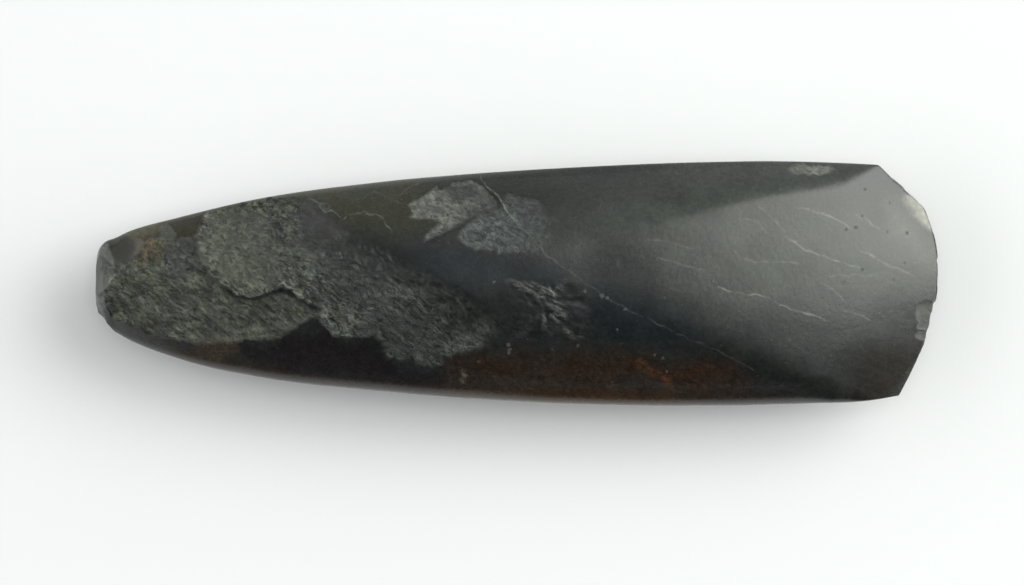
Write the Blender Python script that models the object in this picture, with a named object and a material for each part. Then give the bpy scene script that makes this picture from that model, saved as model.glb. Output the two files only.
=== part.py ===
"""A polished stone axe head, lying on its broad face with its cutting edge towards +X.

The body is one loft. Its section is a broad lens between narrow upright sides, smaller towards a blunt
butt. Towards the blade both faces are ground down along a long curve to a rounded cutting edge, and meet
the sloping flanks in soft arrises. The head lies a little rolled, so its right side (-Y) shows more from
above. Old damage is then cut out of it: the
flaked butt, the broad hollows on the upper face, the clipped blade corner and the chips. A small flat on
the belly keeps it still.

Numbers are in millimetres: X from the butt, Y across from the middle line, Z up from the middle of the
thickness.
"""

import math

import bmesh
import bpy
import numpy as np
from mathutils import Matrix, Vector
from mathutils.bvhtree import BVHTree

MM = 0.001

LENGTH = 161.3
HALF_THICKNESS = 14.8
CREST = 75.0  # the thickest station
ROLL = math.radians(-2.5)

# Half widths at hand-set stations, left (+Y) and right (-Y) of the middle line.
WIDTH_STATIONS = (0, 3, 6, 16, 32, 54, 83, 112, 135, 148, 156)
LEFT_WIDTHS = (8.65, 8.75, 10.1, 12.95, 16.62, 19.62, 21.95, 23.3, 23.58, 23.1, 22.55)
RIGHT_WIDTHS = (7.7, 8.75, 10.4, 14.25, 17.82, 20.3, 22.45, 23.15, 22.76, 22.2, 20.8)
# Half thickness of the body from the butt to the crest.
THICKNESS_STATIONS = (0, 6, 16, 32, 54, 75)
THICKNESSES = (6.2, 7.7, 9.8, 12.4, 14.3, 14.8)

BUTT_ROUNDING = 3.0  # length over which the blunt end rounds off
BUTT_END_SHARE = 0.5  # size of the end's flat against the section behind it

# The body's sides, as shares of its half thickness, left and right: an upright strip, then a rounding.
BODY_UPRIGHTS = (0.13, 0.09)
BODY_ROUNDINGS = (0.15, 0.21)
BODY_FACE_SLOPE = 0.88  # how steeply the faces rise from the roundings

# The blade's sides at stations along it: the upright strip's half height, then the rounding's radius.
SIDE_STATIONS = (0, 102, 114, 129, 139, 146, 150)
LEFT_UPRIGHTS = (2.5, 2.7, 3.0, 2.8, 1.9, 1.3, 1.3)
RIGHT_UPRIGHTS = (0.4, 0.3, 0.3, 0.5, 0.8, 2.2, 1.6)
LEFT_ROUNDING = 0.8
RIGHT_ROUNDINGS = (3.8, 3.8, 3.8, 3.4, 3.0, 1.7, 1.2)
LEFT_SLOPE = 0.84  # of the left flank, above its rounding
RIGHT_STRIP = 1.8  # width of the right side, before its flank steepens
RIGHT_STEEPENING = 0.2
RIGHT_EVEN_STATIONS = (134.0, 146.0)  # the steepening dies out between these stations
MIDDLE_SHARE = 0.4  # of each half width, over which left turns into right
THIN_FACE = 5.0  # below this height the crease sharpens
UPRIGHT_INSET = 0.08  # how far in the upright strips lean

# The lens of the blade's flanks: its power left, right and underneath, and where it would run out.
LENS_POWERS = (2.1, 1.5, 2.5)
LENS_STATIONS = (0, 92, 122, 135, 150)
LEFT_LENS_WIDTHS = (1.12, 1.12, 1.16, 1.16, 1.16)
RIGHT_LENS_WIDTHS = (1.12, 1.12, 1.14, 1.18, 1.24)
ARRIS_TIGHTNESS = (9.0, 12.0)  # how tightly the flanks meet the ground faces, left and right
BODY_TIGHTNESS = 4.0
FACE_CROWN = 0.2  # how much lower a ground face is at its sides

BODY_TO_BLADE = (58.0, 98.0)  # the body's section turns into the blade's between these stations
ARRIS_STATIONS = (92.0, 122.0)  # the arrises tighten between these
FULLER_STATIONS = (65.0, 125.0)  # and the crown loses its extra fullness between these
BLADE_RADIUS = 265.0  # of the long curve to which both faces are ground
BEVEL_START = 138.0
BEVEL_RADIUS = 360.0
EDGE_HALF_THICKNESS = 0.15
EDGE_MIDDLE = 3.0  # the foremost point of the cutting edge, across
EDGE_RADIUS_LEFT = 27.0
EDGE_RADIUS_RIGHT = 38.5
EDGE_BEND_START = 92.0  # from here on the rings bend with the cutting edge
DROOP_STATIONS = (138.0, 154.0)
DROOP_START = 10.0  # how far right of the middle line the droop begins
MOST_DROOP = 0.6  # of the height there
CORNER_DROOP = 0.009  # how fast both faces fall away towards the blade's right corner
FLANK_SOFTNESS = (1.8, 1.0)  # of the crease between flank and side, before and after it turns crisp
FLANK_CRISP_STATIONS = (108.0, 128.0)

BELLY_FLAT_DEPTH = 0.6

BODY_RINGS = 30
BLADE_RINGS = 18
POINTS_AROUND = 52

# The hollow that one lost flake leaves: a point inside the body, the way that the hollow faces from there,
# the hollow's radius, and its depth below the surface.
SCOOPS = {
    "butt_face": ((2.0, 2.5, 1.0), (-1, 0.05, 0.5), 13, 0.8),
    "butt_face_right": ((3.0, -5.0, 0.5), (-1, -0.85, 0.2), 15, 0.9),
    "butt_shoulder_left": ((6.0, 5.0, 3.0), (-0.25, 0.55, 0.8), 16, 0.7),
    "butt_under": ((6.0, 0.0, -3.0), (-0.5, 0.1, -1), 26, 0.9),
    "bed_butt": ((13.0, -1.5, 2.0), (-0.1, 0.0, 1), 55, 0.9),
    "bed_right": ((25.0, -7.0, 3.0), (0.0, -0.22, 1), 55, 1.1),
    "bed_right_far": ((36.0, -9.5, 3.0), (0.05, -0.3, 1), 50, 0.9),
    "bed_middle": ((51.0, -2.0, 4.0), (0.02, 0.05, 1), 130, 0.5),
    "bed_middle_right": ((60.0, -9.0, 4.0), (0.05, -0.22, 1), 110, 0.45),
    "flake_left": ((66.0, 14.0, 4.0), (0.0, 0.4, 1), 36, 0.45),
    "flake_left_far": ((81.0, 10.5, 4.0), (0.0, 0.25, 1), 46, 0.35),
    "flake_right": ((42.0, -18.0, -4.0), (0.0, -0.85, -0.5), 40, 0.8),
    "arris_chip": ((137.0, 20.0, -1.0), (0.0, 0.8, 0.75), 16, 0.7),
    "edge_chip_wide": ((158.0, -6.8, 0.8), (0.5, 0.0, 1), 3.4, 0.5),
    "edge_chip_small": ((157.3, -10.0, 1.2), (0.5, 0.0, 1), 2.6, 0.4),
}
SCOOP_FACET = 2.6
SCOOP_SEGMENTS_LEAST = 28
# The blade's left corner is gone: the break runs straight between these two points, seen from above.
CLIPPED_CORNER = ((149.6, 23.0), (158.7, 14.7))
BLOCK = 220.0  # side of the blocks that cut the corner and the belly

STONE_COLOUR = (0.032, 0.038, 0.033, 1.0)
STONE_ROUGHNESS = 0.35


def clear_scene():
    for obj in list(bpy.data.objects):
        bpy.data.objects.remove(obj, do_unlink=True)


def new_collection(name):
    collection = bpy.data.collections.new(name)
    bpy.context.scene.collection.children.link(collection)
    return collection


def smooth_curve(stations, values, at):
    """A smooth curve through the values at their stations, read at the places given."""
    stations = np.array(stations, float)
    values = np.array(values, float)
    slopes = np.gradient(values, stations)
    at = np.clip(at, stations[0], stations[-1])
    i = np.clip(np.searchsorted(stations, at) - 1, 0, len(stations) - 2)
    span = stations[i + 1] - stations[i]
    t = (at - stations[i]) / span
    start = (1 + 2 * t) * (1 - t) ** 2 * values[i] + t * (1 - t) ** 2 * span * slopes[i]
    return start + t * t * (3 - 2 * t) * values[i + 1] + t * t * (t - 1) * span * slopes[i + 1]


def butt_share(x):
    """How much of its full section the body has reached at x: less than all of it over the rounded end."""
    t = np.clip(x / BUTT_ROUNDING, 0, 1)
    return BUTT_END_SHARE + (1 - BUTT_END_SHARE) * np.sqrt(1 - (1 - t) ** 2)


def edge_setback(y):
    """How far the cutting edge lies behind its foremost point."""
    radius = np.where(y > EDGE_MIDDLE, EDGE_RADIUS_LEFT, EDGE_RADIUS_RIGHT)
    return (y - EDGE_MIDDLE) ** 2 / (2 * radius)


def lower_of(a, b, softness):
    """The smaller of two heights, its crease rounded over about the softness."""
    return np.minimum(a, b) - np.maximum(softness - np.abs(a - b), 0) ** 2 / (4 * softness)


def ramp(low, high, value):
    """0 up to the low end, 1 from the high end on, and an S curve between them."""
    t = np.clip((value - low) / (high - low), 0, 1)
    return t * t * (3 - 2 * t)


def blended(pair, leftness):
    """A value between those of the left and the right side."""
    return pair[1] + (pair[0] - pair[1]) * leftness


def upright(inset):
    return np.sqrt(np.clip(inset / UPRIGHT_INSET, 0, 1))


def body_height(inset, width, thickness, leftness):
    """The body's half section: a rounded side, then a face that rises ever more gently to the middle."""
    rounding = thickness * blended(BODY_ROUNDINGS, leftness)
    strip = thickness * blended(BODY_UPRIGHTS, leftness)
    turn = rounding / (2 * BODY_FACE_SLOPE**2)
    start = strip + rounding / BODY_FACE_SLOPE
    reach = np.maximum(width - turn, 0.1)
    power = np.maximum(BODY_FACE_SLOPE * reach / (thickness - start), 1.3)
    across = 1 - np.clip((inset - turn) / reach, 0, 1)
    face = start + (thickness - start) * (1 - across**power)
    return np.where(inset < turn, strip * upright(inset) + np.sqrt(2 * rounding * inset), face)


def face_height(station, across, up, thickness, leftness):
    """The flanks' lens and the flatter ground face, whichever is lower, with a soft arris between them."""
    power = np.where(across > 0, LENS_POWERS[0], LENS_POWERS[1])
    power = np.where(up > 0, power, LENS_POWERS[2])
    wide_left = np.interp(station, LENS_STATIONS, LEFT_LENS_WIDTHS)
    wide_right = np.interp(station, LENS_STATIONS, RIGHT_LENS_WIDTHS)
    lens = thickness * (1 - (np.abs(across) / np.where(across > 0, wide_left, wide_right)) ** power)
    ground = thickness - np.maximum(station - CREST, 0) ** 2 / (2 * BLADE_RADIUS)
    ground = ground - np.maximum(station - BEVEL_START, 0) ** 2 / (2 * BEVEL_RADIUS)
    ground = np.maximum(ground, 1e-6) * (1 - FACE_CROWN * across**2)
    tighter = blended(ARRIS_TIGHTNESS, leftness) - BODY_TIGHTNESS
    tight = BODY_TIGHTNESS + tighter * ramp(*ARRIS_STATIONS, station)
    fuller = (2 ** (1 / BODY_TIGHTNESS) - 1) * (1 - ramp(*FULLER_STATIONS, station))
    return (1 + fuller * (1 - across**2)) * (lens**-tight + ground**-tight) ** (-1 / tight)


def flank_height(station, inset, leftness):
    """The blade's sides: upright strips, then the straight left flank and the steepening right one."""
    turn = LEFT_ROUNDING / (2 * LEFT_SLOPE**2)
    left = np.where(inset < turn, np.sqrt(2 * LEFT_ROUNDING * inset), LEFT_SLOPE * (turn + inset))
    left = left + np.interp(station, SIDE_STATIONS, LEFT_UPRIGHTS) * upright(inset)
    steepening = RIGHT_STEEPENING * (1 - ramp(*RIGHT_EVEN_STATIONS, station))
    right = np.sqrt(2 * np.interp(station, SIDE_STATIONS, RIGHT_ROUNDINGS) * inset)
    right = right + steepening * np.maximum(inset - RIGHT_STRIP, 0) ** 2
    right = right + np.interp(station, SIDE_STATIONS, RIGHT_UPRIGHTS) * upright(inset)
    return right + (left - right) * leftness


def section(station, angles):
    """The points of one ring, from the left side over the top to the right and back underneath."""
    bend = max(0.0, (station - EDGE_BEND_START) / (LENGTH - EDGE_BEND_START))
    across = np.cos(angles)
    up = np.sin(angles)
    x = station - bend**1.5 * edge_setback(across * np.where(across > 0, LEFT_WIDTHS[-1], RIGHT_WIDTHS[-1]))
    left, right = (smooth_curve(WIDTH_STATIONS, widths, x) for widths in (LEFT_WIDTHS, RIGHT_WIDTHS))
    width = np.where(across > 0, left, right) * butt_share(x)
    y = across * width
    inset = (1 - np.abs(across)) * width
    leftness = ramp(-MIDDLE_SHARE, MIDDLE_SHARE, across)
    thickness = smooth_curve(THICKNESS_STATIONS, THICKNESSES, x) * butt_share(x)
    height = body_height(inset, width, thickness, leftness)
    if station > BODY_TO_BLADE[0]:
        face = face_height(station, across, up, thickness, leftness)
        crisp = ramp(*FLANK_CRISP_STATIONS, station)
        softness = FLANK_SOFTNESS[0] * (1 - crisp) + FLANK_SOFTNESS[1] * crisp
        flank = flank_height(station, inset, leftness)
        blade = lower_of(face, flank, softness * np.clip(face / THIN_FACE, 0.02, 1))
        height = height + (blade - height) * ramp(*BODY_TO_BLADE, station)
        droop = CORNER_DROOP * np.maximum(-y - DROOP_START, 0) ** 2 * ramp(*DROOP_STATIONS, station)
        most = MOST_DROOP * np.maximum(height, EDGE_HALF_THICKNESS)
        height = np.maximum(height - most * (1 - np.exp(-droop / most)), EDGE_HALF_THICKNESS)
    return np.stack([x, y, np.sign(up) * height], axis=1)


def loft_body():
    """One closed mesh of rings, with a flat at the butt and a thin strip along the cutting edge."""
    stations = [CREST * (i / BODY_RINGS) ** 1.6 for i in range(BODY_RINGS)]
    stations += [CREST + (LENGTH - CREST) * (i / BLADE_RINGS) ** 0.85 for i in range(BLADE_RINGS + 1)]
    angles = (np.arange(POINTS_AROUND) + 0.5) * math.tau / POINTS_AROUND
    mesh = bmesh.new()
    rings = [[mesh.verts.new(point) for point in section(station, angles)] for station in stations]
    for ring, following in zip(rings, rings[1:]):
        for i in range(POINTS_AROUND):
            j = (i + 1) % POINTS_AROUND
            mesh.faces.new((ring[i], ring[j], following[j], following[i]))
    mesh.faces.new(rings[0])
    half = POINTS_AROUND // 2
    upper = rings[-1][:half]
    lower = rings[-1][: half - 1 : -1]
    for i in range(half - 1):
        mesh.faces.new((upper[i], upper[i + 1], lower[i + 1], lower[i]))
    bmesh.ops.recalc_face_normals(mesh, faces=mesh.faces)
    bmesh.ops.rotate(mesh, verts=mesh.verts, matrix=Matrix.Rotation(ROLL, 3, "X"))
    return mesh


def new_object(name, mesh, collection):
    """Turns a mesh drawn in millimetres into an object in metres."""
    bmesh.ops.scale(mesh, verts=mesh.verts, vec=(MM, MM, MM))
    data = bpy.data.meshes.new(name)
    mesh.to_mesh(data)
    mesh.free()
    obj = bpy.data.objects.new(name, data)
    collection.objects.link(obj)
    return obj


def new_cutter(name, mesh, collection):
    cutter = new_object(name, mesh, collection)
    cutter.hide_render = True
    cutter.display_type = "WIRE"
    return cutter


def scoop(surface, inside, facing, radius, depth):
    """A ball that dips into the surface. Its poles are turned sideways: its even facets do the cutting."""
    facing = Vector(facing).normalized()
    start = Vector(inside) + facing * BLOCK
    on_surface = surface.ray_cast(start, -facing)[0]
    segments = max(SCOOP_SEGMENTS_LEAST, round(math.tau * radius / SCOOP_FACET))
    mesh = bmesh.new()
    bmesh.ops.create_uvsphere(mesh, u_segments=segments, v_segments=segments // 2, radius=radius)
    bmesh.ops.rotate(mesh, verts=mesh.verts, matrix=Matrix.Rotation(math.pi / 2, 3, "X"))
    bmesh.ops.translate(mesh, verts=mesh.verts, vec=on_surface + facing * (radius - depth))
    return mesh


def corner_block():
    """A block whose side stands upright along the break across the blade's left corner."""
    start, end = (Vector((*point, 0)) for point in CLIPPED_CORNER)
    along = (end - start).normalized()
    outward = Vector((-along.y, along.x, 0))
    mesh = bmesh.new()
    bmesh.ops.create_cube(mesh, size=BLOCK)
    bmesh.ops.rotate(mesh, verts=mesh.verts, matrix=Matrix.Rotation(math.atan2(along.y, along.x), 3, "Z"))
    bmesh.ops.translate(mesh, verts=mesh.verts, vec=(start + end) / 2 + outward * BLOCK / 2)
    return mesh


def belly_block(lowest):
    """A block under the body, its top level with the flat that is ground on the belly."""
    mesh = bmesh.new()
    bmesh.ops.create_cube(mesh, size=BLOCK)
    bmesh.ops.translate(mesh, verts=mesh.verts, vec=(CREST, 0, lowest + BELLY_FLAT_DEPTH - BLOCK / 2))
    return mesh


def cut(body, cutter):
    modifier = body.modifiers.new(cutter.name, "BOOLEAN")
    modifier.operation = "DIFFERENCE"
    modifier.solver = "EXACT"
    modifier.object = cutter


def greenstone():
    material = bpy.data.materials.new("greenstone")
    material.use_nodes = True
    shader = material.node_tree.nodes["Principled BSDF"]
    shader.inputs["Base Color"].default_value = STONE_COLOUR
    shader.inputs["Roughness"].default_value = STONE_ROUGHNESS
    shader.inputs["Metallic"].default_value = 0.0
    return material


def set_down(body, cutters, collection):
    """Hangs everything on one empty, moved so that the head is centred on the origin and lies on z = 0."""
    place = bpy.data.objects.new("resting_place", None)
    collection.objects.link(place)
    for obj in (body, *cutters.objects):
        obj.parent = place
    bpy.context.view_layer.update()
    finished = body.evaluated_get(bpy.context.evaluated_depsgraph_get()).data
    corners = np.array([vert.co for vert in finished.vertices])
    low = corners.min(axis=0)
    high = corners.max(axis=0)
    place.location = (-(low[0] + high[0]) / 2, -(low[1] + high[1]) / 2, -low[2])


def main():
    clear_scene()
    collection = new_collection("polished_stone_axe")
    cutters = new_collection("cutters")
    mesh = loft_body()
    surface = BVHTree.FromBMesh(mesh)
    lowest = min(vert.co.z for vert in mesh.verts)
    body = new_object("axe_head", mesh, collection)
    body.data.materials.append(greenstone())
    for name, hollow in SCOOPS.items():
        cut(body, new_cutter(name, scoop(surface, *hollow), cutters))
    cut(body, new_cutter("clipped_corner", corner_block(), cutters))
    cut(body, new_cutter("belly_flat", belly_block(lowest), cutters))
    set_down(body, cutters, collection)


main()
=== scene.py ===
import math
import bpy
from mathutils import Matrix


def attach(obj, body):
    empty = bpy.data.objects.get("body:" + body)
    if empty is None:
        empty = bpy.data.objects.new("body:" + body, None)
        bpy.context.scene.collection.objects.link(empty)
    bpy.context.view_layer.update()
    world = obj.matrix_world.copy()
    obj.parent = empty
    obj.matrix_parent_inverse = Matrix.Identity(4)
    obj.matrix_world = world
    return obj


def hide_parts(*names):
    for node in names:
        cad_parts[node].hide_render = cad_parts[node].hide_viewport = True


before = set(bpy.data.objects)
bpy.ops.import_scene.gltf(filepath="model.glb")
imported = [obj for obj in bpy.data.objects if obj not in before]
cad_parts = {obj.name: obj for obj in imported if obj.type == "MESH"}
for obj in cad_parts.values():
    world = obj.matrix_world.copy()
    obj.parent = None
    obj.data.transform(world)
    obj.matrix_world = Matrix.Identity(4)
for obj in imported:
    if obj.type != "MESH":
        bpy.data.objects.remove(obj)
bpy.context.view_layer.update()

from types import SimpleNamespace

import bmesh
import bpy
import numpy as np
from mathutils import Vector

MM = 0.001

# ---------------------------------------------------------------- the ground form, in millimetres
# X runs from the butt to the cutting edge, Y across, Z up from the middle of the thickness. Left is +Y
# and right is -Y, and pairs of values give the left side's first.
LENGTH = 161.3
CREST = 75.0  # the thickest station
ROLL = math.radians(-2.5)
WIDTH_STATIONS = (0, 3, 6, 16, 32, 54, 83, 112, 135, 148, 156)
LEFT_WIDTHS = (8.65, 8.75, 10.1, 12.95, 16.62, 19.62, 21.95, 23.3, 23.58, 23.1, 22.55)
RIGHT_WIDTHS = (7.7, 8.75, 10.4, 14.25, 17.82, 20.3, 22.45, 23.15, 22.76, 22.2, 20.8)
THICKNESS_STATIONS = (0, 6, 16, 32, 54, 75)
THICKNESSES = (6.2, 7.7, 9.8, 12.4, 14.3, 14.8)
BUTT_ROUNDING = 3.0  # length over which the blunt end rounds off
BUTT_END_SHARE = 0.5  # size of the end's flat against the section behind it

# The body's sides, as shares of its half thickness: an upright strip, then a rounding.
BODY_UPRIGHTS = (0.13, 0.09)
BODY_ROUNDINGS = (0.15, 0.21)
BODY_FACE_SLOPE = 0.88  # how steeply the faces rise from the roundings

# The blade's sides at stations along it: the upright strip's half height, then the rounding's radius.
SIDE_STATIONS = (0, 102, 114, 129, 139, 146, 150)
LEFT_UPRIGHTS = (2.5, 2.7, 3.0, 2.8, 1.9, 1.3, 1.3)
RIGHT_UPRIGHTS = (0.4, 0.3, 0.3, 0.5, 0.8, 2.2, 1.6)
LEFT_ROUNDING = 0.8
RIGHT_ROUNDINGS = (3.8, 3.8, 3.8, 3.4, 3.0, 1.7, 1.2)
LEFT_SLOPE = 0.84  # of the left flank, above its rounding
RIGHT_STRIP = 1.8  # width of the right side, before its flank steepens
RIGHT_STEEPENING = 0.2
RIGHT_EVEN_STATIONS = (134, 146)  # the steepening dies out between these stations
MIDDLE_SHARE = 0.4  # of each half width, over which left turns into right
UPRIGHT_INSET = 0.08  # how far in the upright strips lean

# The lens of the blade's flanks: its power left, right and underneath, and where it would run out.
LENS_POWERS = (2.1, 1.5, 2.5)
LENS_STATIONS = (0, 92, 122, 135, 150)
LEFT_LENS_WIDTHS = (1.12, 1.12, 1.16, 1.16, 1.16)
RIGHT_LENS_WIDTHS = (1.12, 1.12, 1.14, 1.18, 1.24)
ARRIS_TIGHTNESS = (9.0, 12.0)  # how tightly the flanks meet the ground faces
BODY_TIGHTNESS = 4.0
FACE_CROWN = 0.2  # how much lower a ground face is at its sides
BLADE_RADIUS = 265.0  # of the long curve to which both faces are ground
BEVEL_START = 138.0
BEVEL_RADIUS = 360.0
FLANK_SOFTNESS = (1.8, 1.5)  # of the crease between flank and side, before and after it turns crisp
THIN_FACE = 5.0  # below this height the crease sharpens

BODY_TO_BLADE = (58, 98)  # the body's section turns into the blade's between these stations
ARRIS_STATIONS = (92, 122)  # the arrises tighten between these
FULLER_STATIONS = (65, 125)  # the crown loses its extra fullness between these
FLANK_CRISP_STATIONS = (108, 128)
DROOP_STATIONS = (138, 154)  # the faces begin to fall away towards the blade's right corner
CORNER_DROOP = 0.009
DROOP_START = 10.0  # how far right of the middle line the droop begins
MOST_DROOP = 0.6  # of the height there

EDGE_MIDDLE = 3.0  # the foremost point of the cutting edge, across
EDGE_RADII = (27.0, 38.5)
EDGE_BEND_START = 92.0  # from here on the rings bend with the cutting edge
EDGE_BEND_POWER = 1.5
CLIPPED_CORNER = ((149.6, 23.0), (158.7, 14.7))
BELLY_FLAT_DEPTH = 0.6

RINGS = 400
CAP_RINGS = 8  # of those, the ones that close the butt
DAMAGED_LENGTH = 88.0  # most of the damage lies before this station, and so do most rings
DAMAGED_SHARE = 0.66
TOP_COLUMNS = 160
UNDER_COLUMNS = 80
COLUMNS = TOP_COLUMNS + UNDER_COLUMNS
CROWDING = 0.25  # how much closer columns lie along the middle, and rings at the edge

# ---------------------------------------------------------------- the damage, outlined as seen from above
SPLIT_ANGLE = -38  # the way the stone splits, in degrees from X towards Y
BUTT_BED_STEP = (
    (-7, 20.1), (21, 14.4), (20.6, 12), (19.8, 10.1), (20.2, 9.1), (19.7, 8), (20, 5.7), (21, 3.8),
    (22.8, 1.9), (24.3, 0.2), (26.2, -1), (28.7, -2.3), (31, -2.5), (32.9, -1.7), (34.8, -1), (36.3, -0.2),
    (37.6, -1.3), (39.5, -2.7), (41.4, -4), (43.7, -4.6), (45.2, -8.5), (44.7, -25.9), (-7, -25.9),
)
BUTT_BED_RIM = (
    (0.7, 6.3), (3.4, 4.4), (4.6, 4), (5.7, 4.4), (7.6, 5.5), (8.7, 7), (10.5, 8.6), (12.5, 8.6),
    (15.6, 8.6), (19.4, 9.3), (27.8, 11.4), (45.1, 11.4), (48.1, -2.9), (43.3, -5.9), (40.4, -7),
    (37.6, -8.7), (34.8, -10.4), (27.9, -10.8), (23.1, -11.4), (18.3, -11.1), (14, -10.3), (10.6, -9.4),
    (7.9, -8), (5.6, -7.4), (3.3, -6.3), (2.2, -4.4), (1.9, -2.5),
)
BUTT_BED_SHADE = ((9.5, 7.5), (19, 8.4), (19.8, 3), (15, 2.2), (9.5, 4.5))
UPPER_BED = (
    (20.4, 13.6), (22.1, 14.2), (24.6, 14.8), (27.5, 15.5), (31.3, 16.3), (34.2, 16.7), (37.1, 16.8),
    (40, 16.6), (41.4, 15.6), (43.4, 14.9), (45, 13.3), (47, 11.4), (48.9, 10.4), (50.3, 8.5), (53.1, 8.5),
    (56, 7), (58.4, 5.6), (61.3, 4.3), (64.1, 3.2), (68.8, 0), (73.6, -2.9), (77.7, -5.7), (79.6, -8.1),
    (77.3, -11), (75.8, -11.7), (73.5, -13.1), (69.7, -13.8), (66.9, -14.6), (65.9, -16.5), (64, -16.5),
    (60.2, -15.6), (56.4, -14.8), (55.1, -14.2), (54.6, -11.4), (53.7, -10.2), (48, -10), (45.2, -9.5),
    (44.2, -7.6), (42.5, -6.1), (35.7, -7.6), (28.1, -2.9), (21.4, 2.8), (19.5, 8.6),
)
PALE_PLATEAU = (
    (20.8, 13.6), (24.6, 14.8), (30.4, 15.3), (33.5, 13.3), (34.1, 9.5), (36.6, 5.7), (36.3, 1.9),
    (34.8, -1), (32.9, -1.5), (31, -2.3), (28.7, -2.3), (26.2, -1), (24.3, 0.2), (22.8, 1.9), (21, 3.8),
    (20, 5.7), (19.7, 8), (20.1, 10.9),
)
RIPPLED_STRIP = (
    (48, 10), (50.3, 8.5), (53.1, 8.5), (58.4, 6), (61.8, 4.3), (64.5, 2.8), (63.2, 1.7), (58.4, 3.6),
    (54.7, 5.1), (50.9, 6.2), (48.6, 7.5),
)
RIPPLED_BED = ((39, 12), (45, 10), (50, 7.5), (57, 4), (62, 1), (58, -1), (50, 1.5), (43, 4), (39, 7))
WINGED_SCAR = (
    (59.8, 15.2), (60.8, 16), (62.5, 16.7), (64, 17.9), (65.1, 18.9), (65.9, 18.1), (67.8, 18.9),
    (68.1, 19.7), (70, 19.7), (71.6, 20.1), (73.9, 18.9), (75.8, 16.9), (77.1, 15.2), (75.4, 14.4),
    (73.2, 13.4), (71.3, 12.5), (69.8, 11.5), (68.2, 10.6), (66, 9.4), (64.5, 8.9), (63, 7.9), (63.3, 9.2),
    (65.2, 11.2), (66, 11.9), (64.4, 12.5), (62.2, 12.5), (59.9, 12.7), (60.8, 13.6),
)
WINGED_SCAR_WALL = (
    (63, 7.9), (66, 9.4), (68.2, 10.6), (71.3, 12.5), (73.2, 13.4), (75.4, 14.4), (77.3, 15.2),
)
STIPPLED_SCAR = (
    (69.4, 8.9), (69.8, 10), (71.3, 11.5), (73.2, 13.1), (75.4, 14.2), (77.9, 15), (78.3, 16.9),
    (79.2, 17.5), (81.1, 16.3), (84, 16.5), (85.9, 14.8), (86.8, 13.2), (88.7, 14.8), (90, 13.8),
    (88.7, 10.4), (86.8, 7.5), (83.9, 6.2), (80.2, 5.8), (75.4, 6.2), (72.6, 6.6), (70.7, 7.5),
)
SPLINTERED_PATCH = (
    (78.3, 1.3), (84.9, 0.9), (89.8, 1.7), (91.5, -1.9), (95.3, -3.8), (96.2, -6.6), (93.4, -11.4),
    (88.7, -11.4), (83.9, -9.5), (80.2, -11.4), (77.3, -8.5), (79.6, -3.8),
)
SPLINTERS = (
    ((78.5, 0.5), (79.6, 0.9), (81.9, 0.4), (83.8, 0.4), (86.4, -0.8), (87.9, -2.3), (85.8, -2.7),
     (83.6, -2.1), (81.9, -1.3), (80.4, -0.6)),
    ((87, -1.5), (88.3, -0.4), (89, 0.4), (89.4, 1.1), (89.8, 0.9), (89.4, -0.4), (88.3, -1.2)),
    ((86.6, -3.2), (87.7, -2.9), (88.7, -4), (90.6, -4.4), (90.2, -4.9), (88.9, -5.1), (90.9, -6.4),
     (89.2, -6.8), (88.1, -7.8), (87.2, -7), (87.2, -5.1)),
    ((85, -6.1), (85.6, -6.1), (86.1, -7.5), (87, -8.7), (86, -8.9), (85.2, -7.8)),
    ((89.1, -7.9), (89.9, -8.3), (90.6, -9.2), (91.9, -9.4), (93.3, -10.2), (91.3, -10.5), (90.3, -10.2)),
)
SOFT_SPLINTERS = (
    ((90.7, -4), (92.4, -3.6), (94.3, -4.2), (94, -6.3), (92.4, -6.3), (91.3, -5.1)),
    ((81.1, -10.4), (83, -8.1), (85.8, -5.1), (85.1, -5.1), (82.6, -7.4), (80.4, -9.7)),
)
SPLINTER_GAPS = (
    ((87.9, -2.5), (89.8, -2.5), (93, -2.3), (93, -3.4), (90.6, -3.6), (88.7, -3.4)),
    ((85.5, -4.4), (86.6, -4.6), (86.6, -7), (85.8, -6.8)),
    ((82.2, -10), (83.6, -7.8), (85.1, -7), (85.8, -9.3), (84.5, -10.4)),
    ((89.2, -0.6), (91.5, -0.2), (92.1, -2.1), (90.2, -1.9)),
)
FADE_LINE = ((47, 11.4), (53.1, 8.5), (61.3, 4.3), (68.8, 0), (77.7, -5.7), (79.6, -8.9))
CREVICE = (
    (25.2, -0.8), (28.1, -2.7), (31, -2.9), (33.4, -1.9), (35.2, -1.2), (37.1, -1.3), (39.5, -3),
    (41.8, -4.6), (43.9, -4.9), (43.7, -7.4),
)
UPPER_GREEN = (
    (20.4, 13.6), (27.5, 15.5), (34.2, 16.7), (39, 16.8), (39.1, 15.3), (33.4, 14.3), (27.6, 13.9),
    (22.9, 12),
)
SMOOTH_GREY = (
    (39.7, 16.2), (44, 14.7), (47, 11.6), (48, 9.3), (44.2, 8.5), (40.3, 10.8), (38.8, 13.9),
)
BUTT_FACE_PALE = (
    (-0.5, 6.7), (1.2, 8), (2.1, 8), (2.8, 6.7), (3.6, 4.2), (3.9, 2.7), (3.5, 1.1), (2.5, -0.4),
    (1.7, -1.2), (-0.5, -1.7),
)
BUTT_FACE_LOW = ((-0.5, -2.1), (1.7, -2.3), (1.9, -3.4), (2, -4.2), (1.6, -5), (-0.5, -5))
BUTT_FACE_RIM = ((3.2, 4.6), (3.7, 3.2), (3.6, 1.7), (2.8, 0.2), (1.9, -0.8))
BUTT_SHOULDER = (
    (1.2, 8), (3, 8.6), (5.5, 9.4), (7.4, 8.8), (7.9, 7), (7.4, 5.9), (6.5, 4.4), (4.2, 4), (3.3, 5.5),
)
BUTT_LOW_FACET = (
    (3.3, -6.7), (6.3, -8.4), (10.6, -8.8), (13.4, -10.7), (15.8, -12.8), (10.4, -11.7), (6.2, -9.8),
)
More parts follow.
